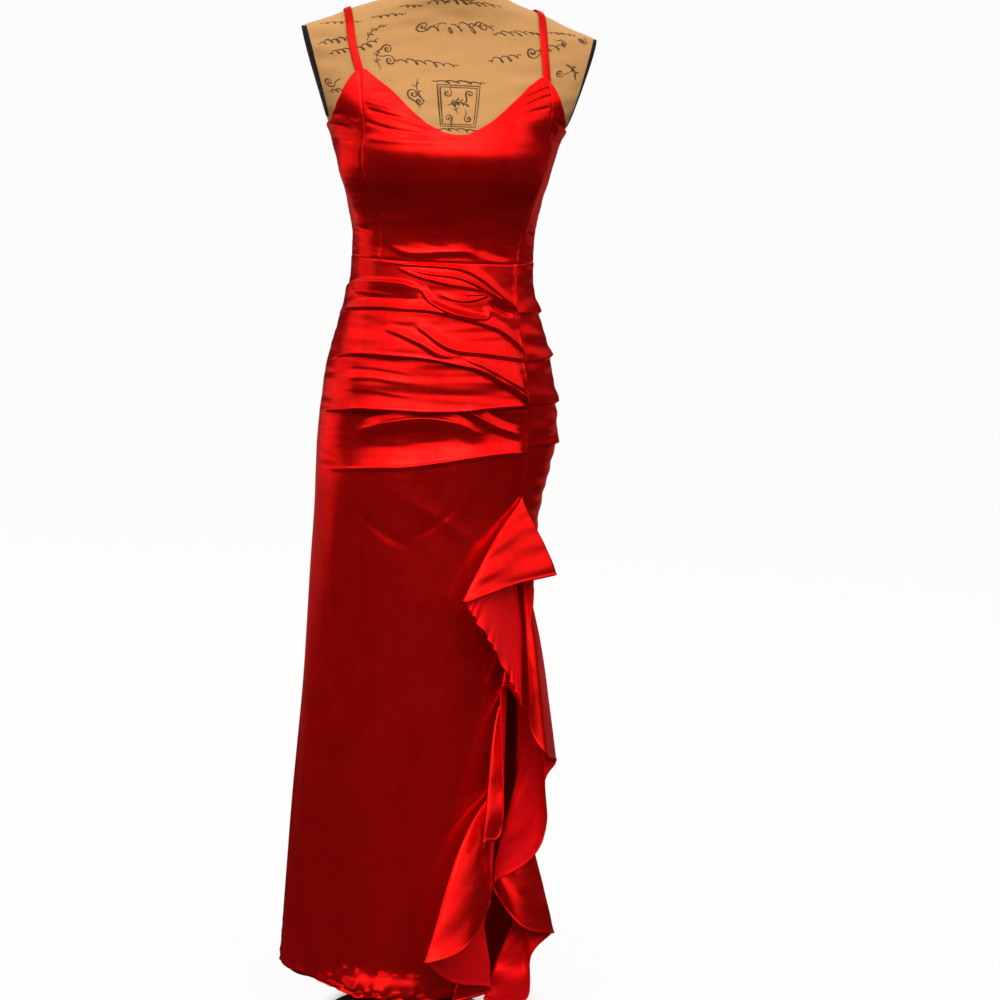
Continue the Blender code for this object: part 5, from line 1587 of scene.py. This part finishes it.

# %% [markdown]
# ## Black boards and stand
# The arm cuts and the neck are closed by matt black boards, and a round steel base carries a black pole.
# Powder paint on steel has a fine orange-peel surface and goes grey along worn edges. One group gives both
# finishes a grain and a mask of dust in clouds, which greys them; it makes no worn edges.

# %% Black finishes
DUST_WAVES = 38.0       # waves of dust in a metre


def black_grain():
    """A fine peel as the height, and dust in clouds."""
    tree, enter, leave = new_group("black_grain", {"Place": "Vector", "Size": "Float"},
                                   {"Dust": "Float", "Gloss": "Float", "Height": "Float"})
    place = enter.outputs["Place"]
    scaled = node(tree, "VectorMath", {"operation": "SCALE"}, Vector=place, Scale=enter.outputs["Size"])
    peel = node(tree, "TexNoise", Vector=scaled.outputs[0], Scale=1.0, Detail=2.0)
    dust = node(tree, "TexNoise", Vector=place, Scale=DUST_WAVES, Detail=5.0, Roughness=0.65).outputs["Fac"]
    tree.links.new(maths(tree, "POWER", dust, 2.0), leave.inputs["Dust"])
    tree.links.new(dust, leave.inputs["Gloss"])
    tree.links.new(peel.outputs["Fac"], leave.inputs["Height"])
    return tree


grain_group = black_grain()


def black(name, dark, dusty, roughness, grain, bump, mirror):
    """A black finish between a dark and a dusty shade, with a roughness that varies by a tenth either way."""
    made, tree = with_tree(bpy.data.materials.new(name))
    place = node(tree, "TexCoord").outputs["Object"]
    finish = placed(tree, grain_group, Place=place, Size=grain)
    raised = node(tree, "Bump", Height=finish.outputs["Height"], Strength=bump, Distance=0.0003)
    gloss = mapped_range(tree, finish.outputs["Gloss"], roughness - 0.1, roughness + 0.1)
    shade = mixed(tree, finish.outputs["Dust"], dark, dusty)
    return principled(made, tree, dark, Base_Color=shade, Roughness=gloss, Specular_IOR_Level=mirror,
                      Normal=raised.outputs[0])


board_black = black("black_board", (0.0035, 0.0035, 0.004), (0.010, 0.009, 0.008), 0.70, 900.0, 0.3, 0.15)
paint_black = black("black_paint", (0.009, 0.009, 0.010), (0.040, 0.038, 0.036), 0.38, 1400.0, 0.35, 0.5)
BOARD_EASE = FORM_EASE - 0.0006         # a board's edge stands a little proud of the linen
BOARD_ROWS, BOARD_COLUMNS = 61, 25
BOARD_THIN, BOARD_TAPER = 0.2, 0.11     # share of its thickness at the lower end, and where it is full


def arm_cut_range():
    """The lowest and the highest height at which the arm's cut meets the skin."""
    probe = np.linspace(1.2, 1.45, 501)
    meets = arm_plane(probe, BOARD_OUT) < (section(probe)[0] - BOARD_EASE) * CUT_END
    return probe[meets].min(), probe[meets].max()


def arm_board(name, side, low, high):
    """A rounded board: at each height it runs from the front edge of the cut to the back edge, and it thins
    towards its lower end."""
    ways = ((1 - np.cos(np.linspace(0, np.pi, count))) / 2 for count in (BOARD_COLUMNS, BOARD_ROWS))
    across, up = np.meshgrid(*ways)
    height = low + (high - low) * up
    share = BOARD_THIN + (1 - BOARD_THIN) * fade((height - low) / BOARD_TAPER)
    faces = []
    for off in (BOARD_OUT - BOARD_THICK * (1 - share), BOARD_OUT - BOARD_THICK + 0 * share):
        edge = cut_turn(height, off, BOARD_EASE)
        turn = np.where(side > 0, edge + (180 - 2 * edge) * across, -(180 - edge) + (180 - 2 * edge) * across)
        point = skin(turn, height, BOARD_EASE)
        most = arm_plane(height, off)
        point[..., 0] = np.clip(point[..., 0], -most, most)
        faces.append(point)
    distance = np.minimum(np.minimum(across, 1 - across) * 0.10, np.minimum(up, 1 - up) * (high - low))
    uv = np.stack([across * 0.1, height], axis=-1)
    return shell(name, *faces, uv, distance, (board_black, board_black))


board_r = arm_board("arm_board_r", -1, *arm_cut_range())
board_l = arm_board("arm_board_l", 1, *arm_cut_range())

# %% [markdown]
# ## The stand
# Base and pole are turned shapes: a profile of a few corners, each made a small curve, is carried round the
# pole. The neck's cap is the neck's own outline, repeated smaller and higher.

# %% The stand and the neck's cap
def turned(name, profile, finish, around=128):
    """A closed turned piece: a profile of (radius, height) points carried round the pole."""
    angle = np.linspace(0, 2 * np.pi, around, endpoint=False)
    rings = np.stack([profile[:, :1] * np.cos(angle), profile[:, :1] * np.sin(angle),
                      np.broadcast_to(profile[:, 1:], (len(profile), around))], axis=-1)
    return closed_tube(name, rings, finish, sharp=40)


CURVE_STEPS = 5


def rounded(corners, radius):
    """The profile with each inner corner made a curve, from a radius before it to a radius after it."""
    corners = np.array(corners, float)
    made = [corners[0]]
    t = np.linspace(0, 1, CURVE_STEPS)[:, None]
    for before, corner, after in zip(corners[:-2], corners[1:-1], corners[2:]):
        into, away = before - corner, after - corner
        reach = min(radius, 0.45 * np.hypot(*into), 0.45 * np.hypot(*away))
        first = corner + into / np.hypot(*into) * reach
        last = corner + away / np.hypot(*away) * reach
        made += list((1 - t) ** 2 * first + 2 * t * (1 - t) * corner + t**2 * last)
    made.append(corners[-1])
    return np.array(made)


POLE_RADIUS, COLLAR_RADIUS, COLLAR_TOP = 0.0125, 0.024, 0.045
BASE_RADIUS, BASE_EDGE = 0.125, 0.012
JOINT_LOW, JOINT_HIGH, JOINT_OUT = 0.40, 0.4185, 0.0006     # the sleeve where the pole's two lengths meet
BASE_PROFILE = (
    (BASE_RADIUS - 0.010, 0.0), (BASE_RADIUS, 0.0), (BASE_RADIUS, BASE_EDGE * 0.75),
    (BASE_RADIUS - 0.004, BASE_EDGE), (BASE_RADIUS - 0.030, BASE_EDGE + 0.0015),
    (COLLAR_RADIUS + 0.020, BASE_EDGE + 0.006), (COLLAR_RADIUS, BASE_EDGE + 0.014),
    (COLLAR_RADIUS, COLLAR_TOP), (POLE_RADIUS + 0.002, COLLAR_TOP),
)
POLE_PROFILE = (
    (POLE_RADIUS * 0.9, COLLAR_TOP + GAP), (POLE_RADIUS, COLLAR_TOP + 0.001), (POLE_RADIUS, JOINT_LOW),
    (POLE_RADIUS + JOINT_OUT, JOINT_LOW + 0.0005), (POLE_RADIUS + JOINT_OUT, JOINT_HIGH - 0.0005),
    (POLE_RADIUS, JOINT_HIGH), (POLE_RADIUS, FORM_FOOT - 0.001), (POLE_RADIUS * 0.9, FORM_FOOT - GAP),
)
stand_base = turned("stand_base", rounded(BASE_PROFILE, 0.003), paint_black)
stand_pole = turned("stand_pole", rounded(POLE_PROFILE, 0.0006), paint_black, 64)

# size of each ring of the cap as a share of the neck's outline, and its height above the neck
CAP_RINGS = np.array([
    (1.0, 0.0), (1.012, 0.0008), (1.015, 0.0024), (1.012, 0.0040), (0.99, 0.0052), (0.95, 0.0068),
    (0.86, 0.0100), (0.72, 0.0130), (0.52, 0.0148), (0.28, 0.0158), (0.06, 0.0162),
])
neck = linen_skin(np.linspace(0, 360, 96, endpoint=False), NECK_TOP)
shares, rises = CAP_RINGS[:, :1], CAP_RINGS[:, 1:]
cap_heights = NECK_TOP + GAP + rises + 0 * neck[:, 2]
cap_rings = np.stack([neck[:, 0] * shares, neck[:, 1] * shares, cap_heights], axis=-1)
neck_cover = closed_tube("neck_cover", cap_rings, board_black)

# %% [markdown]
# ## Put each piece in place
# Every piece rides on the one body in place of a CAD node, whose own mesh is hidden. The tables also give
# each
# piece's slot and, for cloth, the flat size it was cut to, how it is held, what it rests on and its flat
# area:
# the pleated and flounced ones were cut larger than the space they fill. The script does not use these.

FORM = ["linen_torso"]
# piece, CAD node, flat width and length as cut, how it is held, what it rests on, flat area
SHEETS = (
    (satin_front, "skirt_front", (0.46, 1.24), "gathered", ["satin_bodice_centre", "linen_torso"], 0.47),
    (satin_side, "skirt_side", (0.17, 1.00), "hung", ["satin_bodice_side_l", "linen_torso"], 0.095),
    (satin_back, "skirt_back", (0.56, 1.12), "hung", ["satin_bodice_back", "linen_torso"], 0.49),
    (satin_centre, "bodice_centre_front", (0.30, 0.27), "stretched", FORM, 0.050),
    (satin_side_r, "bodice_side_front_r", (0.16, 0.26), "stretched", FORM, 0.024),
    (satin_side_l, "bodice_side_front_l", (0.15, 0.26), "stretched", FORM, 0.022),
    (satin_bodice_back, "bodice_back", (0.36, 0.18), "stretched", FORM, 0.055),
    (satin_flounce_front, "flounce_front", (0.40, 0.72), "hung", ["satin_skirt_front"], 0.105),
    (satin_flounce_side, "flounce_side", (0.34, 0.60), "hung", ["satin_skirt_side"], 0.072),
)
PLAIN = (
    (torso, "form_torso", "linen"), (flourishes, "form_torso", "linen"),
    (board_r, "arm_plate_r", "black_board"), (board_l, "arm_plate_l", "black_board"),
    (neck_cover, "neck_cap", "black_board"), (stand_pole, "pole", "black_metal"),
    (stand_base, "base", "black_metal"),
)


def declare(piece, cad, slot_name):
    """Rides a piece on the one body in place of a CAD node, which it hides. slot_name is not used."""
    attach(piece, "root")
    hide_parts(cad)


for piece, cad, flat, held, rests_on, area in SHEETS:
    declare(piece, cad, "satin")
for name, (piece, length) in strap_pieces.items():
    declare(piece, STRAPS[name][0], "satin")
for row in PLAIN:
    declare(*row)
